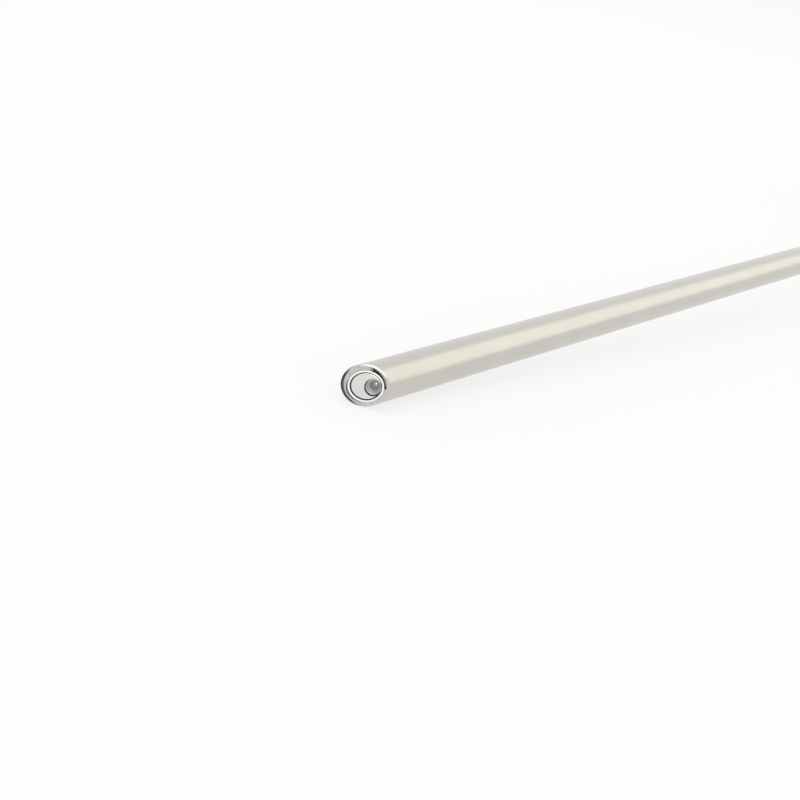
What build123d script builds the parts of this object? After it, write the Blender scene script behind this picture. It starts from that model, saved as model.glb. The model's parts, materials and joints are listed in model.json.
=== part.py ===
from build123d import *
from math import asin, atan, atan2, cos, hypot, radians, sin, tan
import os

os.makedirs("parts", exist_ok=True)

# Rigid endoscope, 4 mm wide, looking 30 degrees to one side, in millimetres.
# It lies on a table on three points: the eyepiece rim, the tip and the end of the light post.
# Stations are distances along the insertion tube, from the middle of its slanted face towards the eye.

# Insertion tube
working_length = 175.0
tube_radius = 2.0
tube_wall = 0.20
tube_grip = 13.0
tube_bushing_wall = 0.20
face_angle = radians(30.0)
face_round = 0.06

# Optic tube, which lies a little off the middle of the insertion tube
optic_radius = 1.475
optic_wall = 0.15
optic_shift_view = 0.10
optic_shift_side = 0.10
lens_gap = 0.015

# Light fibres between the two tubes, short of the face along one stretch of the narrow side
fibre_recess = 0.40
fibre_gap_turn = radians(29.0)
fibre_gap_half = radians(41.0)
bundle_radius = 1.10
bundle_bend = 4.5
bundle_gather = 4.5

# Objective, with a slanted cone bored square to the face
cell_recess = 0.02
cell_length = 3.60
groove_width = 0.10
groove_depth = 0.15
cone_shift_view = 0.59
cone_shift_side = 0.115
cone_radius = 0.80
cone_end_radius = 0.46
cone_depth = 0.95
front_lens_radius = 0.55
front_lens_thickness = 0.30
front_lens_dish = 2.0
prism_radius = 0.83
prism_air = 0.04
objective_length = 2.40
objective_curve = 3.2
objective_spacer_length = 2.0
spacer_wall = 0.22

# Relay of rod lenses with their spacers
rod_count = 6
rod_spacer = 3.6
rod_curve = 8.0
train_air = 0.5

# Socket that joins the tube to the body
socket_nose_radius = 2.9
socket_nose_length = 2.0
socket_cone_length = 10.0
socket_edge = 0.4
spigot_length = 5.0
spigot_gather_wall = 1.1

# Body
body_radius = 7.5
body_wall = 1.2
body_length = 28.0
body_edge = 0.5
thread_gap = 0.02
boss_radius = 5.4
boss_height = 2.2
boss_fillet = 1.0
boss_edge = 0.3

# Light post, square to the body on the side away from the view
post_station = 11.0
post_reach = 27.0
post_spigot_radius = 3.2
post_spigot_length = 2.4
post_flange_radius = 4.9
post_flange_height = 1.8
post_neck_radius = 3.2
post_neck_length = 1.4
post_thread_radius = 3.75
post_thread_length = 4.6
post_nose_radius = 3.0
post_nose_length = 4.4
ferrule_wall = 0.5
post_washer_height = 0.4

# Screwed adapter on the light post
adapter_grip_radius = 5.1
adapter_grip_length = 4.2
adapter_radius = 4.75
adapter_groove_radius = 4.1
adapter_groove_width = 1.6
adapter_edge = 0.3
grip_flutes = 24
flute_radius = 0.35
inlet_radius = 2.4
inlet_thickness = 1.2
inlet_recess = 0.2

# End ring of the body and the ring that marks the angle of view
end_ring_radius = 8.0
end_ring_length = 4.5
end_ring_edge = 0.4
view_ring_radius = 8.3
view_ring_length = 1.5
lock_screw_count = 3
lock_screw_radius = 1.0
lock_screw_hex = 0.5
lock_screw_hex_depth = 1.2
lock_screw_recess = 0.3

# Ocular
core_radius = 5.0
core_wall = 1.0
core_front_wall = 2.0
core_front_gap = 6.0
core_shoulder_radius = 3.2
ocular_length = 4.0
ocular_curve = 9.0
ocular_spacer_length = 4.0
retainer_length = 2.0
retainer_radius = 3.0
field_stop_thickness = 0.3
field_stop_radius = 0.9
window_thickness = 1.2

# Eyepiece cup
cup_radius = 16.0
cup_length = 22.5
cup_neck_radius = 9.0
cup_neck_length = 7.0
cup_rim_width = 4.0
cup_rim_edge = 0.5
cup_mouth_radius = 13.4
cup_floor_radius = 8.0
cup_floor_depth = 8.5
bezel_radius = 6.4
bezel_height = 0.7
bezel_opening = 4.0

# Rubber seals
seal_section = 0.40
seal_gap = 0.02

# Stations that follow from these sizes
socket_end = working_length + socket_nose_length + socket_cone_length
tube_end = working_length + tube_grip
spigot_end = socket_end + spigot_length
post_middle = socket_end + post_station
body_end = socket_end + body_length
end_ring_end = body_end + end_ring_length
cup_front = end_ring_end + view_ring_length
cup_end = cup_front + cup_length
cup_floor = cup_end - cup_floor_depth
rim_start = cup_end - cup_rim_width
rest_station = rim_start + cup_rim_edge
core_start = body_end - core_front_gap - core_front_wall - end_ring_length
window_start = cup_floor - window_thickness - bezel_height

# How the endoscope lies: pitched up to the eyepiece rim, and rolled until the light post rests
pitch = atan((cup_radius - tube_radius) / rest_station)
axis_height = tube_radius * cos(pitch)
post_height = axis_height + post_middle * sin(pitch)
post_corner = post_reach - adapter_edge
post_drop = asin(post_height / hypot(post_corner, adapter_radius)) - atan2(adapter_radius, post_corner)
roll = asin(sin(post_drop) / cos(pitch))
reach_up_x = cup_end * cos(pitch) + (cup_radius - cup_rim_edge) * sin(pitch)
reach_down_x = tube_radius * tan(face_angle) * cos(pitch)
reach_up_y = post_corner * cos(roll) + adapter_radius * sin(roll)
tip = Vector((reach_down_x - reach_up_x) / 2, (cup_radius - reach_up_y) / 2, axis_height)

# Directions: towards the eye, along the light post, and across both
eyeward = Vector(cos(pitch), 0, sin(pitch))
postward = Vector(sin(roll) * sin(pitch), cos(roll), -sin(roll) * cos(pitch))
sideward = eyeward.cross(postward)
face_normal = eyeward * -cos(face_angle) - postward * sin(face_angle)

# Planes and axes of the insertion tube, the optic tube, the slanted face, the cone and the post
tube_plane = Plane(origin=tip, x_dir=postward, z_dir=eyeward)
tube_profile = Plane(origin=tip, x_dir=eyeward, z_dir=sideward)
tube_axis = Axis(tip, eyeward)
optic_tip = tip - postward * optic_shift_view - sideward * optic_shift_side
optic_plane = Plane(origin=optic_tip, x_dir=postward, z_dir=eyeward)
optic_profile = Plane(origin=optic_tip, x_dir=eyeward, z_dir=sideward)
optic_axis = Axis(optic_tip, eyeward)
face_plane = Plane(origin=tip, x_dir=sideward, z_dir=face_normal)
cone_rise = (optic_shift_view + cone_shift_view) * tan(face_angle)
cone_mouth = optic_tip - postward * cone_shift_view - sideward * cone_shift_side + eyeward * cone_rise
cone_plane = Plane(origin=cone_mouth, x_dir=sideward, z_dir=face_normal)
post_origin = tip + eyeward * post_middle
post_plane = Plane(origin=post_origin, x_dir=eyeward, z_dir=postward)
post_profile = Plane(origin=post_origin, x_dir=postward, z_dir=sideward)
post_axis = Axis(post_origin, postward)

# Radii that follow from these sizes
tube_bore = tube_radius - tube_wall
bushing_radius = tube_radius + tube_bushing_wall
optic_bore = optic_radius - optic_wall
lens_radius = optic_bore - lens_gap
face_overrun = 2 * tube_radius * tan(face_angle)
body_bore = body_radius - body_wall
spigot_radius = body_bore - thread_gap
core_bore = core_radius - core_wall
ocular_radius = core_bore - lens_gap


def sag(curve, radius):
    """How far a dome of this curve falls back from its top at this radius."""
    return curve - (curve**2 - radius**2) ** 0.5


# Insertion tube: a thin steel tube, cut off at the face angle and polished round at the edge.
# A bushing is brazed round its other end, and is soldered into the socket.
with BuildPart() as outer_tube:
    with BuildSketch(tube_plane.offset(-face_overrun)):
        Circle(tube_radius)
        Circle(tube_bore, mode=Mode.SUBTRACT)
    extrude(amount=face_overrun + tube_end)
    split(bisect_by=face_plane, keep=Keep.BOTTOM)
    fillet(outer_tube.faces().filter_by(face_plane).edges(), face_round)
    with BuildSketch(tube_plane.offset(working_length)):
        Circle(bushing_radius)
        Circle(tube_bore, mode=Mode.SUBTRACT)
    extrude(amount=tube_grip)
outer_tube.part.label = "outer_tube"
export_step(outer_tube.part, "parts/outer_tube.step")

# Optic tube: the inner steel tube that holds every lens, cut off in the same plane
optic_end = core_start + core_front_wall
with BuildPart() as optic_tube:
    with BuildSketch(optic_plane.offset(-face_overrun)):
        Circle(optic_radius)
        Circle(optic_bore, mode=Mode.SUBTRACT)
    extrude(amount=face_overrun + optic_end)
    split(bisect_by=face_plane, keep=Keep.BOTTOM)
    fillet(optic_tube.faces().filter_by(face_plane).edges(), face_round / 2)
optic_tube.part.label = "optic_tube"
export_step(optic_tube.part, "parts/optic_tube.step")

# Light fibres: they fill the space between the tubes, gather behind them and bend into the post
bundle_offset = optic_radius + bundle_radius
gather_end = tube_end + bundle_gather
bend_start = post_middle - bundle_bend
ferrule_end = post_reach - inlet_recess - inlet_thickness
bend_top = bundle_offset + bundle_bend
gap_toward = sideward * sin(fibre_gap_turn) - face_plane.y_dir * cos(fibre_gap_turn)
gap_plane = Plane(origin=tip, x_dir=gap_toward, z_dir=face_normal)
gap_reach = 2 * tube_radius
gap_side = gap_reach * tan(fibre_gap_half)
with BuildPart() as light_fibres:
    with BuildSketch(tube_plane.offset(-face_overrun)):
        Circle(tube_bore)
    extrude(amount=face_overrun + tube_end)
    split(bisect_by=face_plane, keep=Keep.BOTTOM)
    with BuildSketch(tube_plane.offset(tube_end)):
        Circle(tube_bore)
    with BuildSketch(tube_plane.offset(gather_end)):
        with Locations((bundle_offset, 0)):
            Circle(bundle_radius)
    loft()
    with BuildLine(tube_profile):
        Polyline((gather_end, bundle_offset), (bend_start, bundle_offset))
        CenterArc((bend_start, bend_top), bundle_bend, -90, 90)
        Line((post_middle, bend_top), (post_middle, ferrule_end))
    with BuildSketch(tube_plane.offset(gather_end)):
        with Locations((bundle_offset, 0)):
            Circle(bundle_radius)
    sweep()
    with BuildSketch(optic_plane.offset(-face_overrun)):
        Circle(optic_radius)
    extrude(amount=face_overrun + post_middle, mode=Mode.SUBTRACT)
    with BuildSketch(gap_plane.offset(-fibre_recess)):
        with BuildLine():
            Polyline((0, 0), (gap_reach, -gap_side), (gap_reach, gap_side), close=True)
        make_face()
    extrude(amount=2 * fibre_recess, mode=Mode.SUBTRACT)
light_fibres.part.label = "light_fibres"
export_step(light_fibres.part, "parts/light_fibres.step")

# Groove round the front of the objective cell, where the cement shows as a dark ring
with BuildPart() as cement_groove:
    with BuildSketch(optic_plane.offset(-face_overrun)):
        Circle(optic_radius)
        Circle(lens_radius - groove_width, mode=Mode.SUBTRACT)
    extrude(amount=2 * face_overrun)
    split(bisect_by=face_plane.offset(-groove_depth), keep=Keep.TOP)

# Space for the prism behind the front lens
lens_back = cone_depth + front_lens_thickness
with BuildPart() as prism_chamber:
    with BuildSketch(optic_plane):
        Circle(prism_radius + lens_gap)
    extrude(amount=cell_length + train_air)
    split(bisect_by=cone_plane.offset(-lens_back), keep=Keep.BOTTOM)

# Objective cell: a steel plug with a slanted cone, a pocket for the front lens and the prism chamber
cone_slope = (cone_radius - cone_end_radius) / cone_depth
with BuildPart() as objective_cell:
    with BuildSketch(optic_plane.offset(-face_overrun)):
        Circle(lens_radius)
    extrude(amount=face_overrun + cell_length)
    split(bisect_by=face_plane.offset(-cell_recess), keep=Keep.BOTTOM)
    with BuildSketch(cone_plane.offset(groove_depth)):
        Circle(cone_radius + groove_depth * cone_slope)
    with BuildSketch(cone_plane.offset(-cone_depth)):
        Circle(cone_end_radius)
    loft(mode=Mode.SUBTRACT)
    with BuildSketch(cone_plane.offset(-cone_depth)):
        Circle(front_lens_radius + lens_gap)
    extrude(amount=-front_lens_thickness - prism_air, mode=Mode.SUBTRACT)
    add(cement_groove.part, mode=Mode.SUBTRACT)
    add(prism_chamber.part, mode=Mode.SUBTRACT)
objective_cell.part.label = "objective_cell"
export_step(objective_cell.part, "parts/objective_cell.step")

# Front lens: a small dished disc at the foot of the cone
with BuildPart() as front_lens:
    with BuildSketch(cone_plane.offset(-cone_depth)):
        Circle(front_lens_radius)
    extrude(amount=-front_lens_thickness)
    dish_middle = front_lens_dish + front_lens_thickness / 2
    with Locations(cone_plane.offset(-cone_depth - dish_middle)):
        Sphere(front_lens_dish, mode=Mode.SUBTRACT)
front_lens.part.label = "front_lens"
export_step(front_lens.part, "parts/front_lens.step")

# Deflecting prism: turns the slanted line of sight into the tube
prism_end = cell_length - prism_air
with BuildPart() as deflecting_prism:
    with BuildSketch(optic_plane):
        Circle(prism_radius)
    extrude(amount=prism_end)
    split(bisect_by=cone_plane.offset(-lens_back - prism_air), keep=Keep.BOTTOM)
deflecting_prism.part.label = "deflecting_prism"
export_step(deflecting_prism.part, "parts/deflecting_prism.step")

# Objective lens behind the prism, flat in front and domed behind
objective_end = cell_length + objective_length
objective_dome = sag(objective_curve, lens_radius)
with BuildPart() as objective_lens:
    with BuildSketch(optic_profile):
        with BuildLine():
            Polyline(
                (objective_end, 0),
                (cell_length, 0),
                (cell_length, lens_radius),
                (objective_end - objective_dome, lens_radius),
            )
            RadiusArc((objective_end - objective_dome, lens_radius), (objective_end, 0), objective_curve)
        make_face()
    revolve(axis=optic_axis)
objective_lens.part.label = "objective_lens"
export_step(objective_lens.part, "parts/objective_lens.step")

# Spacer tube between the objective lens and the first rod
spacer_bore = lens_radius - spacer_wall
spacer_start = objective_end - sag(objective_curve, spacer_bore)
with BuildPart() as objective_spacer:
    with BuildSketch(optic_plane.offset(spacer_start)):
        Circle(lens_radius)
        Circle(spacer_bore, mode=Mode.SUBTRACT)
    extrude(amount=objective_spacer_length)
objective_spacer.part.label = "objective_spacer"
export_step(objective_spacer.part, "parts/objective_spacer.step")

# Rod lenses: long glass rods with domed ends, each held off the next by a spacer tube
rod_dome = sag(rod_curve, lens_radius)
rod_seat = sag(rod_curve, spacer_bore)
train_start = spacer_start + objective_spacer_length - rod_seat
train_end = optic_end - train_air - field_stop_thickness
rod_pitch = (train_end - train_start + rod_spacer) / rod_count
rod_length = rod_pitch - rod_spacer
for number in range(1, rod_count + 1):
    rod_front = train_start + (number - 1) * rod_pitch
    rod_back = rod_front + rod_length
    with BuildPart() as rod_lens:
        with BuildSketch(optic_profile):
            with BuildLine():
                Line((rod_back, 0), (rod_front, 0))
                RadiusArc((rod_front, 0), (rod_front + rod_dome, lens_radius), rod_curve)
                Line((rod_front + rod_dome, lens_radius), (rod_back - rod_dome, lens_radius))
                RadiusArc((rod_back - rod_dome, lens_radius), (rod_back, 0), rod_curve)
            make_face()
        revolve(axis=optic_axis)
    rod_lens.part.label = f"rod_lens_{number}"
    export_step(rod_lens.part, f"parts/rod_lens_{number}.step")

# Spacer tubes between the rods
for number in range(1, rod_count):
    gap_front = train_start + number * rod_pitch - rod_spacer - rod_seat
    with BuildPart() as rod_spacer_tube:
        with BuildSketch(optic_plane.offset(gap_front)):
            Circle(lens_radius)
            Circle(spacer_bore, mode=Mode.SUBTRACT)
        extrude(amount=rod_spacer + 2 * rod_seat)
    rod_spacer_tube.part.label = f"rod_spacer_{number}"
    export_step(rod_spacer_tube.part, f"parts/rod_spacer_{number}.step")

# Field stop: the disc whose round hole edges the picture
with BuildPart() as field_stop:
    with BuildSketch(optic_plane.offset(train_end)):
        Circle(lens_radius)
        Circle(field_stop_radius, mode=Mode.SUBTRACT)
    extrude(amount=field_stop_thickness)
field_stop.part.label = "field_stop"
export_step(field_stop.part, "parts/field_stop.step")

# Socket: the steel cone that the insertion tube is soldered into, screwed into the body
seal_radius = spigot_radius + seal_gap - seal_section - seal_gap
seal_groove = 2 * seal_section + seal_gap
socket_seal_start = socket_end + socket_edge
with BuildPart() as shaft_socket:
    with BuildSketch(tube_profile):
        with BuildLine():
            Polyline(
                (working_length, bushing_radius),
                (working_length, socket_nose_radius - socket_edge),
                (working_length + socket_edge, socket_nose_radius),
                (working_length + socket_nose_length, socket_nose_radius),
                (socket_end - socket_edge, body_radius - socket_edge),
                (socket_end, body_radius - socket_edge),
                (socket_end, spigot_radius - seal_section),
                (socket_seal_start, spigot_radius - seal_section),
                (socket_seal_start, seal_radius - seal_section - seal_gap),
                (socket_seal_start + seal_groove, seal_radius - seal_section - seal_gap),
                (socket_seal_start + seal_groove, spigot_radius),
                (spigot_end, spigot_radius),
                (spigot_end, spigot_radius - spigot_gather_wall),
                (tube_end, spigot_radius - spigot_gather_wall),
                (tube_end, bushing_radius),
                close=True,
            )
        make_face()
    revolve(axis=tube_axis)
shaft_socket.part.label = "shaft_socket"
export_step(shaft_socket.part, "parts/shaft_socket.step")

# Rubber ring in the groove of the socket's spigot
with BuildPart() as socket_seal:
    with BuildSketch(tube_profile):
        with Locations((socket_seal_start + seal_groove / 2, seal_radius)):
            Circle(seal_section)
    revolve(axis=tube_axis)
socket_seal.part.label = "socket_seal"
export_step(socket_seal.part, "parts/socket_seal.step")

# Body: a steel shell with the boss for the light post
boss_top = body_radius + boss_height
with BuildPart() as body_shell:
    with BuildSketch(tube_plane.offset(socket_end)):
        Circle(body_radius)
    extrude(amount=body_length)
    chamfer(body_shell.edges().filter_by(GeomType.CIRCLE), body_edge)
    with BuildSketch(post_plane):
        Circle(boss_radius)
    extrude(amount=boss_top)
    fillet(body_shell.edges().filter_by(GeomType.BSPLINE), boss_fillet)
    chamfer(body_shell.faces().sort_by(post_axis)[-1].edges(), boss_edge)
    with BuildSketch(tube_plane.offset(socket_end)):
        Circle(body_bore)
    extrude(amount=body_length, mode=Mode.SUBTRACT)
    with BuildSketch(post_plane):
        Circle(post_spigot_radius + thread_gap)
    extrude(amount=boss_top, mode=Mode.SUBTRACT)
body_shell.part.label = "body_shell"
export_step(body_shell.part, "parts/body_shell.step")

# Rubber washer between the boss and the flange of the light post
washer_top = boss_top + post_washer_height
with BuildPart() as post_washer:
    with BuildSketch(post_plane.offset(boss_top)):
        Circle(post_flange_radius - seal_section)
        Circle(post_spigot_radius + thread_gap, mode=Mode.SUBTRACT)
    extrude(amount=post_washer_height)
post_washer.part.label = "post_washer"
export_step(post_washer.part, "parts/post_washer.step")

# Light post: turned steel with a spigot in the boss, a flange, a neck, a thread and a nose
ferrule_radius = bundle_radius + ferrule_wall
post_bore = ferrule_radius + thread_gap
flange_top = washer_top + post_flange_height
neck_top = flange_top + post_neck_length
thread_top = neck_top + post_thread_length
nose_top = thread_top + post_nose_length
with BuildPart() as light_post:
    with BuildSketch(post_profile):
        with BuildLine():
            Polyline(
                (boss_top - post_spigot_length, post_bore),
                (boss_top - post_spigot_length, post_spigot_radius),
                (washer_top, post_spigot_radius),
                (washer_top, post_flange_radius),
                (flange_top, post_flange_radius),
                (flange_top, post_neck_radius),
                (neck_top, post_neck_radius),
                (neck_top, post_thread_radius),
                (thread_top, post_thread_radius),
                (thread_top, post_nose_radius),
                (nose_top, post_nose_radius),
                (nose_top, post_bore),
                close=True,
            )
        make_face()
    revolve(axis=post_axis)
light_post.part.label = "light_post"
export_step(light_post.part, "parts/light_post.step")

# Ferrule: the brass sleeve that holds the end of the light fibres in the post
ferrule_start = bend_top
with BuildPart() as fibre_ferrule:
    with BuildSketch(post_plane.offset(ferrule_start)):
        Circle(ferrule_radius)
        Circle(bundle_radius, mode=Mode.SUBTRACT)
    extrude(amount=ferrule_end - ferrule_start)
fibre_ferrule.part.label = "fibre_ferrule"
export_step(fibre_ferrule.part, "parts/fibre_ferrule.step")

# Rubber ring under the adapter, round the neck of the post
with BuildPart() as adapter_seal:
    with BuildSketch(post_profile):
        with Locations((flange_top + seal_section + seal_gap, post_neck_radius + seal_section + seal_gap)):
            Circle(seal_section)
    revolve(axis=post_axis)
adapter_seal.part.label = "adapter_seal"
export_step(adapter_seal.part, "parts/adapter_seal.step")

# Adapter: screwed over the post, with a fluted grip, a snap groove and a plain nose for the light cable
adapter_start = flange_top + 2 * (seal_section + seal_gap)
grip_end = adapter_start + adapter_grip_length
groove_end = grip_end + adapter_groove_width
with BuildPart() as light_adapter:
    with BuildSketch(post_profile):
        with BuildLine():
            Polyline(
                (adapter_start, post_thread_radius + thread_gap),
                (adapter_start, adapter_grip_radius - adapter_edge),
                (adapter_start + adapter_edge, adapter_grip_radius),
                (grip_end - adapter_edge, adapter_grip_radius),
                (grip_end, adapter_grip_radius - adapter_edge),
                (grip_end, adapter_groove_radius),
                (groove_end, adapter_groove_radius),
                (groove_end, adapter_radius - adapter_edge),
                (groove_end + adapter_edge, adapter_radius),
                (post_corner, adapter_radius),
                (post_reach, adapter_radius - adapter_edge),
                (post_reach, inlet_radius + thread_gap),
                (ferrule_end, inlet_radius + thread_gap),
                (ferrule_end, ferrule_radius + thread_gap),
                (nose_top + thread_gap, ferrule_radius + thread_gap),
                (nose_top + thread_gap, post_nose_radius + thread_gap),
                (thread_top + thread_gap, post_nose_radius + thread_gap),
                (thread_top + thread_gap, post_thread_radius + thread_gap),
                close=True,
            )
        make_face()
    revolve(axis=post_axis)
    with BuildSketch(post_plane.offset(adapter_start)):
        with PolarLocations(adapter_grip_radius, grip_flutes):
            Circle(flute_radius)
    extrude(amount=adapter_grip_length, mode=Mode.SUBTRACT)
light_adapter.part.label = "light_adapter"
export_step(light_adapter.part, "parts/light_adapter.step")

# Inlet window: the glass disc that closes the end of the post over the fibres
with BuildPart() as inlet_window:
    with BuildSketch(post_plane.offset(ferrule_end)):
        Circle(inlet_radius)
    extrude(amount=inlet_thickness)
inlet_window.part.label = "inlet_window"
export_step(inlet_window.part, "parts/inlet_window.step")

# End ring: screws into the back of the body and holds the ocular core
ring_spigot_start = body_end - end_ring_length
with BuildPart() as end_ring:
    with BuildSketch(tube_profile):
        with BuildLine():
            Polyline(
                (ring_spigot_start, core_radius),
                (ring_spigot_start, spigot_radius),
                (body_end, spigot_radius),
                (body_end, end_ring_radius - end_ring_edge),
                (body_end + end_ring_edge, end_ring_radius),
                (end_ring_end - end_ring_edge, end_ring_radius),
                (end_ring_end, end_ring_radius - end_ring_edge),
                (end_ring_end, core_radius),
                close=True,
            )
        make_face()
    revolve(axis=tube_axis)
    screw_plane = tube_plane.offset(body_end + end_ring_length / 2)
    with Locations(screw_plane):
        with PolarLocations(0, lock_screw_count, start_angle=180 / lock_screw_count):
            with Locations(Rotation(0, 90, 0)):
                Cylinder(
                    lock_screw_radius + thread_gap,
                    end_ring_radius,
                    align=(Align.CENTER, Align.CENTER, Align.MIN),
                    mode=Mode.SUBTRACT,
                )
end_ring.part.label = "end_ring"
export_step(end_ring.part, "parts/end_ring.step")

# Lock screws: three grub screws in the end ring that pinch the ocular core
lock_screw_length = end_ring_radius - lock_screw_recess - core_radius
with BuildPart() as lock_screws:
    with Locations(screw_plane):
        with PolarLocations(0, lock_screw_count, start_angle=180 / lock_screw_count):
            with Locations(Rotation(0, 90, 0) * Pos(0, 0, core_radius)):
                Cylinder(
                    lock_screw_radius,
                    lock_screw_length,
                    align=(Align.CENTER, Align.CENTER, Align.MIN),
                )
            with Locations(Rotation(0, 90, 0) * Pos(0, 0, core_radius + lock_screw_length)):
                Cylinder(
                    lock_screw_hex,
                    lock_screw_hex_depth,
                    align=(Align.CENTER, Align.CENTER, Align.MAX),
                    mode=Mode.SUBTRACT,
                )
lock_screws.part.label = "lock_screws"
export_step(lock_screws.part, "parts/lock_screws.step")

# Ring between the body and the eyepiece, in the colour that marks the angle of view
with BuildPart() as view_ring:
    with BuildSketch(tube_plane.offset(end_ring_end)):
        Circle(view_ring_radius)
        Circle(core_radius, mode=Mode.SUBTRACT)
    extrude(amount=view_ring_length)
    chamfer(view_ring.edges().filter_by(GeomType.CIRCLE).group_by(SortBy.RADIUS)[-1], end_ring_edge / 2)
view_ring.part.label = "view_ring"
export_step(view_ring.part, "parts/view_ring.step")

# Ocular core: the steel housing of the ocular lens, from the optic tube to the eyepiece window
ocular_start = cup_front
ocular_back = ocular_start + ocular_length
ocular_dome = sag(ocular_curve, ocular_radius)
ocular_seat = sag(ocular_curve, core_shoulder_radius)
ocular_shoulder = ocular_start - ocular_dome + ocular_seat
core_seal_start = cup_front + cup_neck_length / 2
core_seal_radius = core_radius - seal_section + seal_gap
with BuildPart() as ocular_core:
    with BuildSketch(tube_profile):
        with BuildLine():
            Polyline(
                (core_start, 0),
                (core_start, core_radius),
                (core_seal_start, core_radius),
                (core_seal_start, core_seal_radius - seal_section),
                (core_seal_start + seal_groove, core_seal_radius - seal_section),
                (core_seal_start + seal_groove, core_radius),
                (window_start, core_radius),
                (window_start, core_bore),
                (ocular_shoulder, core_bore),
                (ocular_shoulder, core_shoulder_radius),
                (core_start + core_front_wall, core_shoulder_radius),
                (core_start + core_front_wall, 0),
                close=True,
            )
        make_face()
    revolve(axis=tube_axis)
    with BuildSketch(optic_plane.offset(core_start)):
        Circle(optic_radius)
    extrude(amount=core_front_wall, mode=Mode.SUBTRACT)
ocular_core.part.label = "ocular_core"
export_step(ocular_core.part, "parts/ocular_core.step")

# Ocular lens, domed on both sides
with BuildPart() as ocular_lens:
    with BuildSketch(tube_profile):
        with BuildLine():
            Line((ocular_back, 0), (ocular_start - ocular_dome, 0))
            RadiusArc((ocular_start - ocular_dome, 0), (ocular_start, ocular_radius), ocular_curve)
            Line((ocular_start, ocular_radius), (ocular_back - ocular_dome, ocular_radius))
            RadiusArc((ocular_back - ocular_dome, ocular_radius), (ocular_back, 0), ocular_curve)
        make_face()
    revolve(axis=tube_axis)
ocular_lens.part.label = "ocular_lens"
export_step(ocular_lens.part, "parts/ocular_lens.step")

# Spacer behind the ocular lens
ocular_spacer_start = ocular_back - ocular_seat
ocular_spacer_end = ocular_spacer_start + ocular_spacer_length
with BuildPart() as ocular_spacer:
    with BuildSketch(tube_plane.offset(ocular_spacer_start)):
        Circle(ocular_radius)
        Circle(core_shoulder_radius, mode=Mode.SUBTRACT)
    extrude(amount=ocular_spacer_length)
ocular_spacer.part.label = "ocular_spacer"
export_step(ocular_spacer.part, "parts/ocular_spacer.step")

# Threaded ring that holds the ocular lens in
with BuildPart() as ocular_retainer:
    with BuildSketch(tube_plane.offset(ocular_spacer_end)):
        Circle(ocular_radius)
        Circle(retainer_radius, mode=Mode.SUBTRACT)
    extrude(amount=retainer_length)
ocular_retainer.part.label = "ocular_retainer"
export_step(ocular_retainer.part, "parts/ocular_retainer.step")

# Rubber ring between the ocular core and the cup
with BuildPart() as eyepiece_seal:
    with BuildSketch(tube_profile):
        with Locations((core_seal_start + seal_groove / 2, core_seal_radius)):
            Circle(seal_section)
    revolve(axis=tube_axis)
eyepiece_seal.part.label = "eyepiece_seal"
export_step(eyepiece_seal.part, "parts/eyepiece_seal.step")

# Eyepiece cup: black plastic, flared to the standard rim, with a hollow for the eye
cup_bore = core_radius + thread_gap
neck_end = cup_front + cup_neck_length
with BuildPart() as eyepiece_cup:
    with BuildSketch(tube_profile):
        with BuildLine():
            Polyline(
                (rim_start, cup_radius - cup_rim_edge),
                (rest_station, cup_radius),
                (cup_end - cup_rim_edge, cup_radius),
                (cup_end, cup_radius - cup_rim_edge),
                (cup_end, cup_mouth_radius),
                (cup_floor, cup_floor_radius),
                (cup_floor, cup_bore),
                (cup_front, cup_bore),
                (cup_front, cup_neck_radius - cup_rim_edge),
                (cup_front + cup_rim_edge, cup_neck_radius),
                (neck_end, cup_neck_radius),
            )
            TangentArc((neck_end, cup_neck_radius), (rim_start, cup_radius - cup_rim_edge), tangent=(1, 0))
        make_face()
    revolve(axis=tube_axis)
eyepiece_cup.part.label = "eyepiece_cup"
export_step(eyepiece_cup.part, "parts/eyepiece_cup.step")

# Eyepiece window: the glass disc that closes the eyepiece
with BuildPart() as eyepiece_window:
    with BuildSketch(tube_plane.offset(window_start)):
        Circle(core_radius - lens_gap)
    extrude(amount=window_thickness)
eyepiece_window.part.label = "eyepiece_window"
export_step(eyepiece_window.part, "parts/eyepiece_window.step")

# Bezel that screws in over the eyepiece window
with BuildPart() as window_bezel:
    with BuildSketch(tube_profile):
        with BuildLine():
            Polyline(
                (window_start + window_thickness, bezel_opening),
                (window_start + window_thickness, core_radius),
                (cup_floor, core_radius),
                (cup_floor, bezel_radius),
                (cup_floor + bezel_height / 2, bezel_radius),
                (cup_floor + bezel_height, bezel_radius - bezel_height / 2),
                (cup_floor + bezel_height, bezel_opening + bezel_height),
                close=True,
            )
        make_face()
    revolve(axis=tube_axis)
window_bezel.part.label = "window_bezel"
export_step(window_bezel.part, "parts/window_bezel.step")
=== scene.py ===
import json
import logging
import math
from abc import ABC, abstractmethod
from dataclasses import dataclass, field
from enum import Enum
from typing import Callable, Sequence

import bmesh
import bpy
import numpy as np
from mathutils import Matrix, Vector


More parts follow.
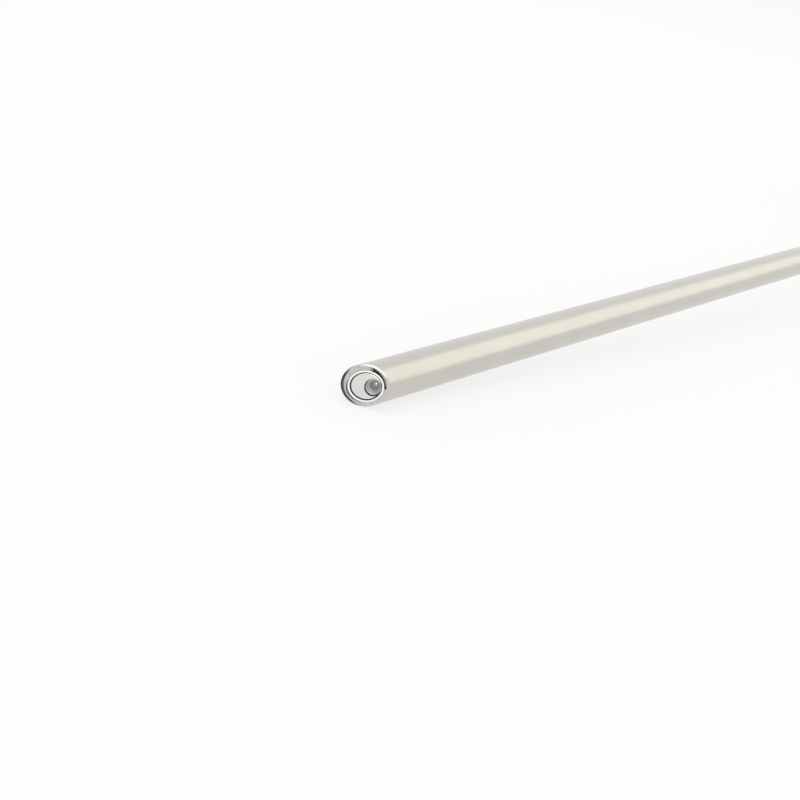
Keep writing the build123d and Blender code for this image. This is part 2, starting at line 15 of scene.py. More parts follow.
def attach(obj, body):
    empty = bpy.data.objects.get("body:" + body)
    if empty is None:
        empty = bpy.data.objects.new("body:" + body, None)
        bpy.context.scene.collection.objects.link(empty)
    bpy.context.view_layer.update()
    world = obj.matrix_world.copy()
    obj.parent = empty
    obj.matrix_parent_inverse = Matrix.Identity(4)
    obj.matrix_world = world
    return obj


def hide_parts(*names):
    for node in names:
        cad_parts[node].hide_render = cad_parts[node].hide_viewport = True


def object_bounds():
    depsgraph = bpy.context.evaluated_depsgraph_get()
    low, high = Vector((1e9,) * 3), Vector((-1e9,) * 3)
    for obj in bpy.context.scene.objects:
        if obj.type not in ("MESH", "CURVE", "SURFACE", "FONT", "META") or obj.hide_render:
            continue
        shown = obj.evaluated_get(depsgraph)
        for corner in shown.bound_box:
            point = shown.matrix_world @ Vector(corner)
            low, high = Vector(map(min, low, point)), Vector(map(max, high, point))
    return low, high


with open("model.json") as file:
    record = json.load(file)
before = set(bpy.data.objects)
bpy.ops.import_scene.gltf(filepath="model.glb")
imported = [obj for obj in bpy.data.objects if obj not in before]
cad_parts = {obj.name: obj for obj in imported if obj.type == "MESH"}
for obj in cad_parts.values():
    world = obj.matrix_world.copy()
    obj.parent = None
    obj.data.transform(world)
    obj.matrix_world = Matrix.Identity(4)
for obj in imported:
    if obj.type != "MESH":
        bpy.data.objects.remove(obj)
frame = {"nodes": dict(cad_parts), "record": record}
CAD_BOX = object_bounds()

LOG = logging.getLogger("endoscope")
MM = 0.001
BODY = "root"
FACE_ANGLE = math.radians(30.0)
FACE_SLOPE = math.tan(FACE_ANGLE)
QUARTER = math.radians(90)
ON_AXIS = 1e-6
WELD_METRES = 1e-8
EASE_MOST_OF_EDGE = 0.45

Outline = list[tuple[float, float]]
Colour = tuple[float, float, float]
Range = tuple[float, float]
BarCorners = list[tuple[float, float, float]]
Loop = list[bmesh.types.BMVert]
ByTurn = Callable[[float], float]


class Slot(Enum):
    """Material slots of the record that the pieces take their finish from."""

    SATIN_STEEL = "satin_steel"
    POLISHED_STEEL = "polished_steel"
    BLACKENED_STEEL = "blackened_steel"
    BRASS = "brass"
    FIBRE_GLASS = "fibre_glass"
    LENS_GLASS = "lens_glass"
    RUBBER_SEAL = "rubber_seal"
    BLACK_PLASTIC = "black_plastic"
    VIEW_COLOUR = "view_colour"


class TubeZone(Enum):
    """Zones of the insertion tube's wall, each with the number of its material."""

    WALL = 0
    OUTER_EDGE = 1
    CUT_EDGE = 2
    BORE = 3


@dataclass(frozen=True)
class Placement:
    """A straight axis that pieces are turned about, with the direction across it."""

    origin: Vector
    along: Vector
    across: Vector

    @property
    def side(self) -> Vector:
        """The direction square to both the axis and the direction across it."""
        return self.along.cross(self.across)

    def point(self, station: float, across: float = 0.0, side: float = 0.0) -> Vector:
        """Finds a point of the frame.

        Args:
            station: distance along the axis, in millimetres.
            across: distance in the direction across, in millimetres.
            side: distance to the side, in millimetres.

        Returns:
            The point in the frame, in metres.
        """
        return self.origin + (self.along * station + self.across * across + self.side * side) * MM

    def moved(self, station: float = 0.0, across: float = 0.0, side: float = 0.0) -> "Placement":
        """Returns the same directions at another origin, which is given in millimetres."""
        return Placement(self.point(station, across, side), self.along, self.across)

    def turned_to(self, along: Vector, across: Vector) -> "Placement":
        """Returns another pair of directions at the same origin."""
        return Placement(self.origin, along.normalized(), across.normalized())

    def rotation(self) -> Matrix:
        """Returns the turn from the placement's own directions to the frame's."""
        return Matrix((self.along, self.across, self.side)).transposed()

    def carry(self, piece: bpy.types.Object) -> None:
        """Moves the mesh of a piece that was made along the X axis to the placement."""
        piece.data.transform(Matrix.Translation(self.origin) @ self.rotation().to_4x4())

    def local(self, node: str) -> np.ndarray:
        """Measures a CAD node.

        Args:
            node: the node's name.

        Returns:
            Station, across and side of each of its corners, in millimetres.
        """
        corners = np.array([corner.co for corner in frame["nodes"][node].data.vertices], float)
        turn = np.array([self.along, self.across, self.side])
        return (corners - np.array(self.origin)) @ turn.T / MM


@dataclass(frozen=True)
class Span:
    """What a turned CAD node measures along and about an axis, in millimetres."""

    start: float
    end: float
    radius: float
    bore: float
    across: float
    side: float

    @classmethod
    def of(cls, placement: Placement, node: str) -> "Span":
        """Measures a node about a placement's axis.

        Args:
            placement: the axis to measure along.
            node: the node's name.

        Returns:
            The node's span.
        """
        local = placement.local(node)
        low, high = local.min(0), local.max(0)
        across, side = (low[1] + high[1]) / 2, (low[2] + high[2]) / 2
        spread = np.hypot(local[:, 1] - across, local[:, 2] - side)
        return cls(low[0], high[0], (high[2] - low[2]) / 2, spread.min(), across, side)


def scope_placement() -> Placement:
    """Finds the insertion tube's axis, with its origin at the middle of the slanted face.

    Returns:
        The placement: along it runs to the eye, and across it points along the light post.
    """
    mounts = {mount["name"]: mount for mount in frame["record"]["mounts"]}
    tube, post = mounts["insertion_tube"], mounts["light_inlet"]
    along, across = -Vector(tube["axis"]).normalized(), Vector(post["axis"]).normalized()
    rough = Placement(Vector(tube["pos_m"]), along, across)
    local = rough.local("outer_tube")
    face = (local[:, 0] + FACE_SLOPE * local[:, 1]).min()
    return rough.moved(float(face))


def post_placement(scope: Placement) -> Placement:
    """Finds the light post's axis.

    Args:
        scope: the insertion tube's placement.

    Returns:
        The placement: its origin is on the tube's axis, and along it runs out of the body.
    """
    seat = scope.local("inlet_window")
    middle = float(seat[:, 0].max() + seat[:, 0].min()) / 2
    return scope.moved(middle).turned_to(scope.across, scope.along)


def eased(outline: Outline, ease: float, closed: bool = True, steps: int = 3) -> Outline:
    """Rounds the corners of an outline.

    Args:
        outline: the corners, as station and radius.
        ease: how far from a corner its rounding starts, in millimetres.
        closed: whether the outline runs on from its last corner to its first.
        steps: how many pieces a rounding has.

    Returns:
        The outline with its corners rounded.
    """
    corners = [Vector(corner) for corner in outline]
    result: Outline = []
    for index, corner in enumerate(corners):
        if not closed and index in (0, len(corners) - 1):
            result.append(tuple(corner))
            continue
        before, after = corners[index - 1] - corner, corners[(index + 1) % len(corners)] - corner
        start = corner + before.normalized() * min(ease, EASE_MOST_OF_EDGE * before.length)
        end = corner + after.normalized() * min(ease, EASE_MOST_OF_EDGE * after.length)
        for step in range(steps + 1):
            share = step / steps
            mixed = start * (1 - share) ** 2 + corner * 2 * share * (1 - share) + end * share**2
            result.append(tuple(mixed))
    return result


def quarter_turn(steps: int) -> list[float]:
    """Returns the angles of a quarter turn that is divided into a number of steps."""
    return [QUARTER * step / steps for step in range(steps + 1)]


def piece_from(name: str, mesh: bmesh.types.BMesh, crease: float = 35.0) -> bpy.types.Object:
    """Makes an object of a finished mesh, with its faces outwards.

    Args:
        name: the piece's name.
        mesh: the mesh, which is freed.
        crease: the least angle between two faces that shows as an edge, in degrees.

    Returns:
        The new object, at the origin.
    """
    bmesh.ops.remove_doubles(mesh, verts=mesh.verts, dist=WELD_METRES)
    bmesh.ops.recalc_face_normals(mesh, faces=mesh.faces)
    data = bpy.data.meshes.new(name)
    mesh.to_mesh(data)
    mesh.free()
    data.shade_smooth()
    data.set_sharp_from_angle(angle=math.radians(crease))
    piece = bpy.data.objects.new(name, data)
    bpy.context.scene.collection.objects.link(piece)
    return piece


def skin(mesh: bmesh.types.BMesh, loops: Sequence[Loop], closed: bool,
         paint: Callable[[int], int] = lambda strip: 0) -> None:
    """Joins loops of points with faces.

    Args:
        mesh: the mesh that holds the points.
        loops: the loops in order; a loop of one point is a pole.
        closed: whether the last loop joins the first.
        paint: the number of the material of each strip of faces, by the strip's place in the order.
    """
    pairs = list(zip(loops, loops[1:]))
    if closed:
        pairs.append((loops[-1], loops[0]))
    for strip, (first, second) in enumerate(pairs):
        count = max(len(first), len(second))
        for index in range(count):
            after = (index + 1) % count
            ring = [first[index % len(first)], first[after % len(first)],
                    second[after % len(second)], second[index % len(second)]]
            face = list(dict.fromkeys(ring))
            if len(face) > 2:
                mesh.faces.new(face).material_index = paint(strip)


def ring_loop(mesh: bmesh.types.BMesh, placement: Placement, radius: float, station: float,
              count: int) -> Loop:
    """Adds a ring of points about a placement's axis.

    Args:
        mesh: the mesh to add to.
        placement: the axis.
        radius: the ring's radius, in millimetres.
        station: where it lies along the axis, in millimetres.
        count: how many points it has, where it isn't on the axis.

    Returns:
        The points; a ring on the axis has only one.
    """
    count = count if radius > ON_AXIS else 1
    turns = [math.tau * index / count for index in range(count)]
    return [mesh.verts.new(placement.point(station, radius * math.cos(turn), radius * math.sin(turn)))
            for turn in turns]


def hex_loop(mesh: bmesh.types.BMesh, placement: Placement, radius: float, station: float,
             count: int) -> Loop:
    """Adds points along a hexagon about a placement's axis.

    Args:
        mesh: the mesh to add to.
        placement: the axis.
        radius: how far the hexagon's corners are from the axis, in millimetres.
        station: where it lies along the axis, in millimetres.
        count: how many points it has.

    Returns:
        The points.
    """
    sixth = math.radians(60)
    points = []
    for index in range(count):
        turn = math.tau * index / count
        reach = radius * math.cos(sixth / 2) / math.cos(turn % sixth - sixth / 2)
        across, side = reach * math.cos(turn), reach * math.sin(turn)
        points.append(mesh.verts.new(placement.point(station, across, side)))
    return points


def turned(name: str, placement: Placement, outline: Outline, segments: int = 96,
           closed: bool = True) -> bpy.types.Object:
    """Turns an outline about an axis, as on a lathe.

    Args:
        name: the piece's name.
        placement: the axis.
        outline: the outline, as station and radius in millimetres.
        segments: how many steps there are round the axis.
        closed: whether the outline is a closed loop, clear of the axis.

    Returns:
        The turned piece.
    """
    mesh = bmesh.new()
    loops = [ring_loop(mesh, placement, radius, station, segments) for station, radius in outline]
    skin(mesh, loops, closed)
    return piece_from(name, mesh)


@dataclass
class Bevelled:
    """A round piece about the tube's axis that is cut off in the plane of the slanted face."""

    scope: Placement
    across: float
    side: float
    segments: int = 192
    rim_hold: float = 0.06
    most_of_wall: float = 0.9
    least_wall: float = 0.002

    def loop(self, mesh: bmesh.types.BMesh, radius: float, depth: ByTurn | float,
             widen: ByTurn | None = None) -> Loop:
        """Adds one loop that follows the slanted face.

        Args:
            mesh: the mesh to add to.
            radius: the loop's radius.
            depth: how far behind the face it lies, the same all round or by the angle round the axis.
            widen: what to add to the radius at each angle.

        Returns:
            The loop's points.
        """
        points = []
        for index in range(self.segments if radius > ON_AXIS else 1):
            turn = math.tau * index / self.segments
            reach = radius + (widen(turn) if widen else 0.0)
            across = self.across + reach * math.cos(turn)
            side = self.side + reach * math.sin(turn)
            behind = depth(turn) if callable(depth) else depth
            station = behind - across * FACE_SLOPE
            points.append(mesh.verts.new(self.scope.point(station, across, side)))
        return points

    def ring(self, mesh: bmesh.types.BMesh, radius: float, station: float) -> Loop:
        """Adds one loop square to the axis and returns its points."""
        return ring_loop(mesh, self.scope.moved(0.0, self.across, self.side), radius, station, self.segments)

    def rim(self, mesh: bmesh.types.BMesh, radius: float, bore: float, outside: ByTurn, inside: float,
            steps: int = 6) -> list[Loop]:
        """Adds the loops of a tube's rounded rim, from its outer wall to its bore.

        The first and the last loop lie a little behind the roundings, which keeps the walls' shading straight.

        Args:
            mesh: the mesh to add to.
            radius: the tube's radius.
            bore: the radius of its bore.
            outside: how far the outer edge is rounded at each angle.
            inside: how far the inner edge is rounded.
            steps: how many pieces a rounding has.

        Returns:
            The loops.
        """
        loops = [self.loop(mesh, radius, lambda turn: outside(turn) + self.rim_hold)]
        for bend in quarter_turn(steps):
            loops.append(self.loop(mesh, radius, lambda turn: outside(turn) * (1 - math.sin(bend)),
                                   lambda turn: -outside(turn) * (1 - math.cos(bend))))
        reach = min(inside, self.most_of_wall * (radius - bore - inside))
        for bend in quarter_turn(steps):
            narrowed = bore + reach * (1 - math.sin(bend))
            loops.append(self.loop(
                mesh, narrowed, reach * (1 - math.cos(bend)),
                lambda turn: min(0.0, radius - outside(turn) - narrowed - self.least_wall)))
        loops.append(self.loop(mesh, bore, inside + self.rim_hold))
        return loops


def settle(piece: bpy.types.Object, crease: float = 35.0) -> None:
    """Turns a piece with modifiers into the plain mesh that they give, with its sharp edges marked.

    Args:
        piece: the piece.
        crease: the least angle between two faces that shows as an edge, in degrees.
    """
    evaluated = piece.evaluated_get(bpy.context.evaluated_depsgraph_get())
    mesh = bpy.data.meshes.new_from_object(evaluated)
    piece.modifiers.clear()
    piece.data = mesh
    mesh.shade_smooth()
    mesh.set_sharp_from_angle(angle=math.radians(crease))


def grow(piece: bpy.types.Object, rule: bpy.types.NodeTree, values: dict[str, object]) -> None:
    """Applies a geometry rule to a piece.

    Args:
        piece: the piece, which keeps the result.
        rule: the geometry node group.
        values: the rule's inputs by name.
    """
    modifier = piece.modifiers.new(rule.name, "NODES")
    modifier.node_group = rule
    for item in rule.interface.items_tree:
        if item.item_type == "SOCKET" and item.in_out == "INPUT" and item.name in values:
            modifier[item.identifier] = values[item.name]
    settle(piece)


def carve(piece: bpy.types.Object, cutter: bpy.types.Object) -> None:
    """Takes one piece's shape out of another, and gives the cut the cutter's material.

    Args:
        piece: the piece that is cut.
        cutter: the piece that cuts it, which is dropped.
    """
    modifier = piece.modifiers.new("cut", "BOOLEAN")
    modifier.operation = "DIFFERENCE"
    modifier.solver = "EXACT"
    modifier.material_mode = "TRANSFER"
    modifier.object = cutter
    settle(piece)
    bpy.data.objects.remove(cutter)


class Wiring:
    """Adds nodes to a tree and joins their sockets."""

    MIX_SHARE_AND_COLOURS = (0, 6, 7)
    MIX_RESULT = 2

    def __init__(self, tree: bpy.types.NodeTree) -> None:
        """Keeps the tree that the nodes go into."""
        self.tree = tree

    def node(self, kind: str, settings: dict[str, object] | None = None, **values: object) -> bpy.types.Node:
        """Adds a node.

        Args:
            kind: the node's type.
            settings: its properties by name.
            values: its inputs by name, with spaces as underscores, each a value or a socket to link from.

        Returns:
            The new node.
        """
        made = self.tree.nodes.new(kind)
        for key, value in (settings or {}).items():
            setattr(made, key, value)
        for key, value in values.items():
            self.feed(made.inputs[key.replace("_", " ")], value)
        return made

    def feed(self, socket: bpy.types.NodeSocket, value: object) -> None:
        """Links a socket from another one, or sets its value.

        Args:
            socket: the socket to feed.
            value: the value, or the socket that gives it.
        """
        if isinstance(value, bpy.types.NodeSocket):
            self.tree.links.new(value, socket)
        else:
            socket.default_value = value

    def feed_all(self, sockets: Sequence[bpy.types.NodeSocket], values: Sequence[object]) -> None:
        """Feeds sockets in order, as far as there are values."""
        for socket, value in zip(sockets, values):
            self.feed(socket, value)

    def math(self, operation: str, *values: object, clamp: bool = False) -> bpy.types.NodeSocket:
        """Adds one sum.

        Args:
            operation: what it does with its values.
            values: two or three values or sockets.
            clamp: whether the result is kept between 0 and 1.

        Returns:
            The socket with the result.
        """
        made = self.node("ShaderNodeMath", {"operation": operation, "use_clamp": clamp})
        self.feed_all(made.inputs, values)
        return made.outputs[0]

    def vector(self, operation: str, *values: object) -> bpy.types.Node:
        """Adds one sum with vectors.

        Args:
            operation: what it does with its values.
            values: the vectors, or sockets that give them.

        Returns:
            The sum's node.
        """
        made = self.node("ShaderNodeVectorMath", {"operation": operation})
        self.feed_all(made.inputs, values)
        return made

    def between(self, value: object, low: object, high: object, start: float = 0.0,
                end: float = 1.0) -> bpy.types.NodeSocket:
        """Spreads a value smoothly over a new range.

        Args:
            value: the value.
            low: the value at which the result is start.
            high: the value at which it is end.
            start: the first end of the new range.
            end: the other end of it.

        Returns:
            The socket with the result.
        """
        made = self.node("ShaderNodeMapRange", {"interpolation_type": "SMOOTHSTEP"}, Value=value, From_Min=low,
                         From_Max=high, To_Min=start, To_Max=end)
        return made.outputs[0]

    def mixed(self, share: object, first: object, second: object) -> bpy.types.NodeSocket:
        """Mixes two colours.

        Args:
            share: how much of the second one there is.
            first: the first colour.
            second: the second colour.

        Returns:
            The socket with the mixed colour.
        """
        made = self.node("ShaderNodeMix", {"data_type": "RGBA"})
        self.feed_all([made.inputs[place] for place in self.MIX_SHARE_AND_COLOURS], (share, first, second))
        return made.outputs[self.MIX_RESULT]


def new_group(name: str, inputs: dict[str, str], outputs: dict[str, str], kind: str = "ShaderNodeTree",
              ) -> tuple[bpy.types.NodeTree, Wiring, dict[str, bpy.types.Node]]:
    """Starts a node group.

    Args:
        name: the group's name.
        inputs: socket types by name.
        outputs: socket types by name.
        kind: the type of the tree.

    Returns:
        The group, its wiring, and its input and output nodes under "in" and "out".
    """
    tree = bpy.data.node_groups.new(name, kind)
    for way, sockets in (("INPUT", inputs), ("OUTPUT", outputs)):
        for label, socket in sockets.items():
            tree.interface.new_socket(label, in_out=way, socket_type=socket)
    wiring = Wiring(tree)
    ends = {"in": wiring.node("NodeGroupInput"), "out": wiring.node("NodeGroupOutput")}
    return tree, wiring, ends


@dataclass
class SharedEffects:
    """The effects that several finishes use, each a shader group that is built once."""

    marks_detail: float = 3.0
    marks_roughness: float = 0.6
    marks_range: Range = (0.3, 0.7)
    mottle_detail: float = 4.0
    mottle_roughness: float = 0.55
    mottle_range: Range = (0.32, 0.68)
    smear_scale: float = 0.22
    smear_detail: float = 5.0
    smear_roughness: float = 0.7
    smear_range: Range = (0.45, 0.75)
    speck_scale: float = 2.6
    speck_detail: float = 2.0
    speck_range: Range = (0.62, 0.72)
    lines: bpy.types.NodeTree = field(init=False)
    mottle: bpy.types.NodeTree = field(init=False)
    handling: bpy.types.NodeTree = field(init=False)
    side_light_paint: bpy.types.NodeTree = field(init=False)

    def __post_init__(self) -> None:
        """Builds the groups."""
        self.lines = self._lines()
        self.mottle = self._mottle()
        self.handling = self._handling()
        self.side_light_paint = self._side_light_paint()

    def _lines(self) -> bpy.types.NodeTree:
        """Builds tool marks: noise that is dense along the axis and drawn out round it, or the other way.

        Returns:
            The shader group.
        """
        tree, wiring, ends = new_group(
            "tool_marks",
            {"Vector": "NodeSocketVector", "Along": "NodeSocketFloat", "Around": "NodeSocketFloat",
             "Seed": "NodeSocketFloat"},
            {"Mask": "NodeSocketFloat"},
        )
        start = ends["in"].outputs
        scale = wiring.node("ShaderNodeCombineXYZ", X=start["Along"], Y=start["Around"], Z=start["Around"])
        spread = wiring.vector("MULTIPLY", start["Vector"], scale.outputs[0])
        noise = wiring.node("ShaderNodeTexNoise", {"noise_dimensions": "4D"}, Vector=spread.outputs[0],
                            W=start["Seed"], Scale=1.0, Detail=self.marks_detail,
                            Roughness=self.marks_roughness)
        wiring.feed(ends["out"].inputs["Mask"], wiring.between(noise.outputs["Fac"], *self.marks_range))
        return tree

    def _mottle(self) -> bpy.types.NodeTree:
        """Builds soft uneven patches between two colours.

        Returns:
            The shader group.
        """
        tree, wiring, ends = new_group(
            "soft_mottle",
            {"Vector": "NodeSocketVector", "Scale": "NodeSocketFloat", "First": "NodeSocketColor",
             "Second": "NodeSocketColor"},
            {"Color": "NodeSocketColor", "Mask": "NodeSocketFloat"},
        )
        start = ends["in"].outputs
        noise = wiring.node("ShaderNodeTexNoise", {}, Vector=start["Vector"], Scale=start["Scale"],
                            Detail=self.mottle_detail, Roughness=self.mottle_roughness)
        mask = wiring.between(noise.outputs["Fac"], *self.mottle_range)
        wiring.feed(ends["out"].inputs["Mask"], mask)
        wiring.feed(ends["out"].inputs["Color"], wiring.mixed(mask, start["First"], start["Second"]))
        return tree

    def _handling(self) -> bpy.types.NodeTree:
        """Builds faint smears and specks from handling and cleaning, which are added to a roughness.

        Returns:
            The shader group.
        """
        tree, wiring, ends = new_group(
            "handling_marks",
            {"Vector": "NodeSocketVector", "Roughness": "NodeSocketFloat", "Amount": "NodeSocketFloat"},
            {"Roughness": "NodeSocketFloat"},
        )
        start = ends["in"].outputs
        smear = wiring.node("ShaderNodeTexNoise", {}, Vector=start["Vector"], Scale=self.smear_scale,
                            Detail=self.smear_detail, Roughness=self.smear_roughness)
        speck = wiring.node("ShaderNodeTexNoise", {}, Vector=start["Vector"], Scale=self.speck_scale,
                            Detail=self.speck_detail)
        smeared = wiring.between(smear.outputs["Fac"], *self.smear_range)
        specked = wiring.between(speck.outputs["Fac"], *self.speck_range)
        both = wiring.math("ADD", smeared, specked)
        wiring.feed(ends["out"].inputs["Roughness"],
                    wiring.math("MULTIPLY_ADD", both, start["Amount"], start["Roughness"]))
        return tree

    def _side_light_paint(self) -> bpy.types.NodeTree:
        """Builds the painted light and shade that turn one colour into another towards one side of an axis.

        Returns:
            The shader group; its Start and Full are cosines of the angle from that side.
        """
        tree, wiring, ends = new_group(
            "painted_light_on_one_side",
            {"Vector": "NodeSocketVector", "Side": "NodeSocketVector", "Start": "NodeSocketFloat",
             "Full": "NodeSocketFloat", "First": "NodeSocketColor", "Second": "NodeSocketColor"},
            {"Color": "NodeSocketColor", "Mask": "NodeSocketFloat"},
        )
        start = ends["in"].outputs
        flat = wiring.vector("MULTIPLY", start["Vector"], (0.0, 1.0, 1.0))
        unit = wiring.vector("NORMALIZE", flat.outputs[0])
        cosine = wiring.vector("DOT_PRODUCT", unit.outputs[0], start["Side"]).outputs["Value"]
        mask = wiring.between(cosine, start["Start"], start["Full"])
        wiring.feed(ends["out"].inputs["Mask"], mask)
        wiring.feed(ends["out"].inputs["Color"], wiring.mixed(mask, start["First"], start["Second"]))
        return tree


@dataclass(frozen=True)
class Blank:
    """A material that is started: its shader's inputs, and the place that its patterns follow."""

    material: bpy.types.Material
    effects: SharedEffects
    wiring: Wiring
    inputs: bpy.types.bpy_prop_collection
    vector: bpy.types.NodeSocket

    @classmethod
    def start(cls, name: str, effects: SharedEffects, placement: Placement) -> "Blank":
        """Starts a material.

        Args:
            name: the material's name.
            effects: the shared effects that it may use.
            placement: where the pattern's axis lies.

        Returns:
            The blank, whose place is in millimetres along the placement.
        """
        material = bpy.data.materials.new(name)
        material.use_nodes = True
        wiring = Wiring(material.node_tree)
        shader = next(node for node in material.node_tree.nodes if node.type == "BSDF_PRINCIPLED")
        place = wiring.node("ShaderNodeTexCoord")
        mapping = wiring.node("ShaderNodeMapping", {"vector_type": "TEXTURE"}, Vector=place.outputs["Object"],
                              Location=placement.origin, Rotation=placement.rotation().to_euler(),
                              Scale=(MM, MM, MM))
        return cls(material, effects, wiring, shader.inputs, mapping.outputs[0])

    def group(self, tree: bpy.types.NodeTree, **values: object) -> bpy.types.bpy_prop_collection:
        """Places a shared effect with its own values and returns its outputs."""
        return self.wiring.node("ShaderNodeGroup", {"node_tree": tree}, Vector=self.vector, **values).outputs

    def patches(self, scale: float, first: Colour, second: Colour) -> bpy.types.NodeSocket:
        """Returns soft patches of two colours."""
        colours = {"First": (*first, 1.0), "Second": (*second, 1.0)}
        return self.group(self.effects.mottle, Scale=scale, **colours)["Color"]

    def tint(self, turn: float, start: float, full: float, first: object, second: Colour,
             ) -> bpy.types.bpy_prop_collection:
        """Paints light and shade by turning a colour into another towards one side of the placement's axis.

        Args:
            turn: the angle of that side round the axis, in degrees.
            start: the cosine of the angle from that side at which the second colour starts.
            full: the cosine at which it is full.
            first: the first colour, or the socket that gives it.
            second: the second colour.

        Returns:
            The effect's outputs.
        """
        side = (0.0, math.cos(math.radians(turn)), math.sin(math.radians(turn)))
        return self.group(self.effects.side_light_paint, Side=side, Start=start, Full=full, First=first,
                          Second=(*second, 1.0))

    def surface(self, colour: object, roughness: object, metallic: float) -> None:
        """Gives the shader its main values.

        Args:
            colour: the colour, or the socket that gives it.
            roughness: the roughness, or the socket that gives it.
            metallic: 1 for metal and 0 for anything else.
        """
        self.wiring.feed(self.inputs["Base Color"], colour)
        self.wiring.feed(self.inputs["Roughness"], roughness)
        self.inputs["Metallic"].default_value = metallic

    def worn(self, roughness: float, amount: float) -> bpy.types.NodeSocket:
        """Returns a roughness with the marks of handling."""
        return self.group(self.effects.handling, Roughness=roughness, Amount=amount)["Roughness"]

    def bump(self, height: bpy.types.NodeSocket, strength: float, depth: float) -> None:
        """Gives the shader's normal a relief of a depth in millimetres."""
        relief = self.wiring.node("ShaderNodeBump", {}, Height=height, Strength=strength, Distance=depth * MM)
        self.wiring.feed(self.inputs["Normal"], relief.outputs[0])


@dataclass(frozen=True)
class Finish(ABC):
    """A finish that a piece can have."""

    name: str

    def build(self, effects: SharedEffects, placement: Placement) -> bpy.types.Material:
        """Makes the material.

        Args:
            effects: the shared effects.
            placement: the axis that its patterns run round.

        Returns:
            The material.
        """
        blank = Blank.start(self.name, effects, placement)
        self.wire(blank)
        return blank.material

    @abstractmethod
    def wire(self, blank: Blank) -> None:
        """Joins the finish's patterns to the shader of a blank."""


@dataclass(frozen=True)
class MetalFinish(Finish):
    """A ground, turned or polished metal."""

    colour: Colour
    shade: Colour
    roughness: float
    marks_along: float = 30.0
    marks_around: float = 0.6
    marks_depth: float = 0.02
    marks_strength: float = 0.5
    marks_seed: float = 1.7
    patch_scale: float = 0.5
    handling: float = 0.04

    def wire(self, blank: Blank) -> None:
        """Wires tool marks, patches and the marks of handling.

        Args:
            blank: the started material.
        """
        marks = blank.group(blank.effects.lines, Along=self.marks_along, Around=self.marks_around,
                            Seed=self.marks_seed)
        patches = blank.patches(self.patch_scale, self.colour, self.shade)
        blank.surface(patches, blank.worn(self.roughness, self.handling), 1.0)
        blank.bump(marks["Mask"], self.marks_strength, self.marks_depth)


@dataclass(frozen=True)
class SoftFinish(Finish):
    """A plastic, rubber, enamel or cement."""

    colour: Colour
    shade: Colour
    roughness: float
    patch_scale: float = 0.4
    grain_scale: float = 6.0
    grain_detail: float = 3.0
    grain_strength: float = 0.6
    grain_depth: float = 0.02
    coat: float = 0.0
    coat_index: float = 1.5
    coat_roughness: float = 0.12
    handling: float = 0.05

    def wire(self, blank: Blank) -> None:
        """Wires a grain, patches, the marks of handling and a coat.

        Args:
            blank: the started material.
        """
        patches = blank.patches(self.patch_scale, self.colour, self.shade)
        blank.surface(patches, blank.worn(self.roughness, self.handling), 0.0)
        grain = blank.wiring.node("ShaderNodeTexNoise", {}, Vector=blank.vector, Scale=self.grain_scale,
                                  Detail=self.grain_detail)
        blank.bump(grain.outputs["Fac"], self.grain_strength, self.grain_depth)
        blank.inputs["Coat Weight"].default_value = self.coat
        blank.inputs["Coat IOR"].default_value = self.coat_index
        blank.inputs["Coat Roughness"].default_value = self.coat_roughness


@dataclass(frozen=True)
class GlassFinish(Finish):
    """Coated optical glass."""

    tint: Colour
    coating: Colour
    patch_scale: float = 0.8
    roughness: float = 0.02
    handling: float = 0.01
    index: float = 1.6
    transmission: float = 1.0

    def wire(self, blank: Blank) -> None:
        """Wires the coating's patches and clear glass.

        Args:
            blank: the started material.
        """
        patches = blank.patches(self.patch_scale, self.tint, self.coating)
        blank.surface(patches, blank.worn(self.roughness, self.handling), 0.0)
        blank.inputs["IOR"].default_value = self.index
        blank.inputs["Transmission Weight"].default_value = self.transmission


@dataclass(frozen=True)
class FibreFinish(Finish):
    """Polished ends of packed glass fibres."""

    colour: Colour
    shade: Colour
    dark: Colour
    blotch_scale: float = 4.2
    fibre_scale: float = 19.0
    dark_from: float = 0.55
    dark_share: float = 0.55
    roughness: float = 0.28
    coat: float = 0.3

    def wire(self, blank: Blank) -> None:
        """Wires blotches, with a darker cell here and there.

        Args:
            blank: the started material.
        """
        blotches = blank.patches(self.blotch_scale, self.colour, self.shade)
        cells = blank.wiring.node("ShaderNodeTexVoronoi", {}, Vector=blank.vector, Scale=self.fibre_scale)
        tone = blank.wiring.node("ShaderNodeSeparateColor", {}, Color=cells.outputs["Color"])
        share = blank.wiring.between(tone.outputs["Red"], self.dark_from, 1.0, 0.0, self.dark_share)
        blank.surface(blank.wiring.mixed(share, blotches, (*self.dark, 1.0)), self.roughness, 0.0)
        blank.inputs["Coat Weight"].default_value = self.coat


@dataclass(frozen=True)
class RimFinish(Finish):
    """A polished steel edge with a painted highlight on one side of the tube and a painted dark reflection on
    another.
    """

    colour: Colour
    # bright is a painted highlight and dark a painted dark reflection, each towards its own side of the tube.
    bright: Colour
    dark: Colour
    painted_dark_reflection_start: float
    painted_dark_reflection_full: float
    painted_dark_reflection_side: float = -8.0
    painted_highlight_side: float = 121.0
    painted_highlight_start: float = 0.72
    painted_highlight_full: float = 0.94
    roughness: float = 0.16
    handling: float = 0.02

    def wire(self, blank: Blank) -> None:
        """Wires the painted highlight over the edge's colour, and the painted dark reflection over both.

        Args:
            blank: the started material.
        """
        # Painted highlight on one side of the rim, then a painted dark reflection on another side.
        lit = blank.tint(self.painted_highlight_side, self.painted_highlight_start, self.painted_highlight_full, (*self.colour, 1.0),
                         self.bright)
        tint = blank.tint(self.painted_dark_reflection_side, self.painted_dark_reflection_start, self.painted_dark_reflection_full, lit["Color"], self.dark)
        blank.surface(tint["Color"], blank.worn(self.roughness, self.handling), 1.0)


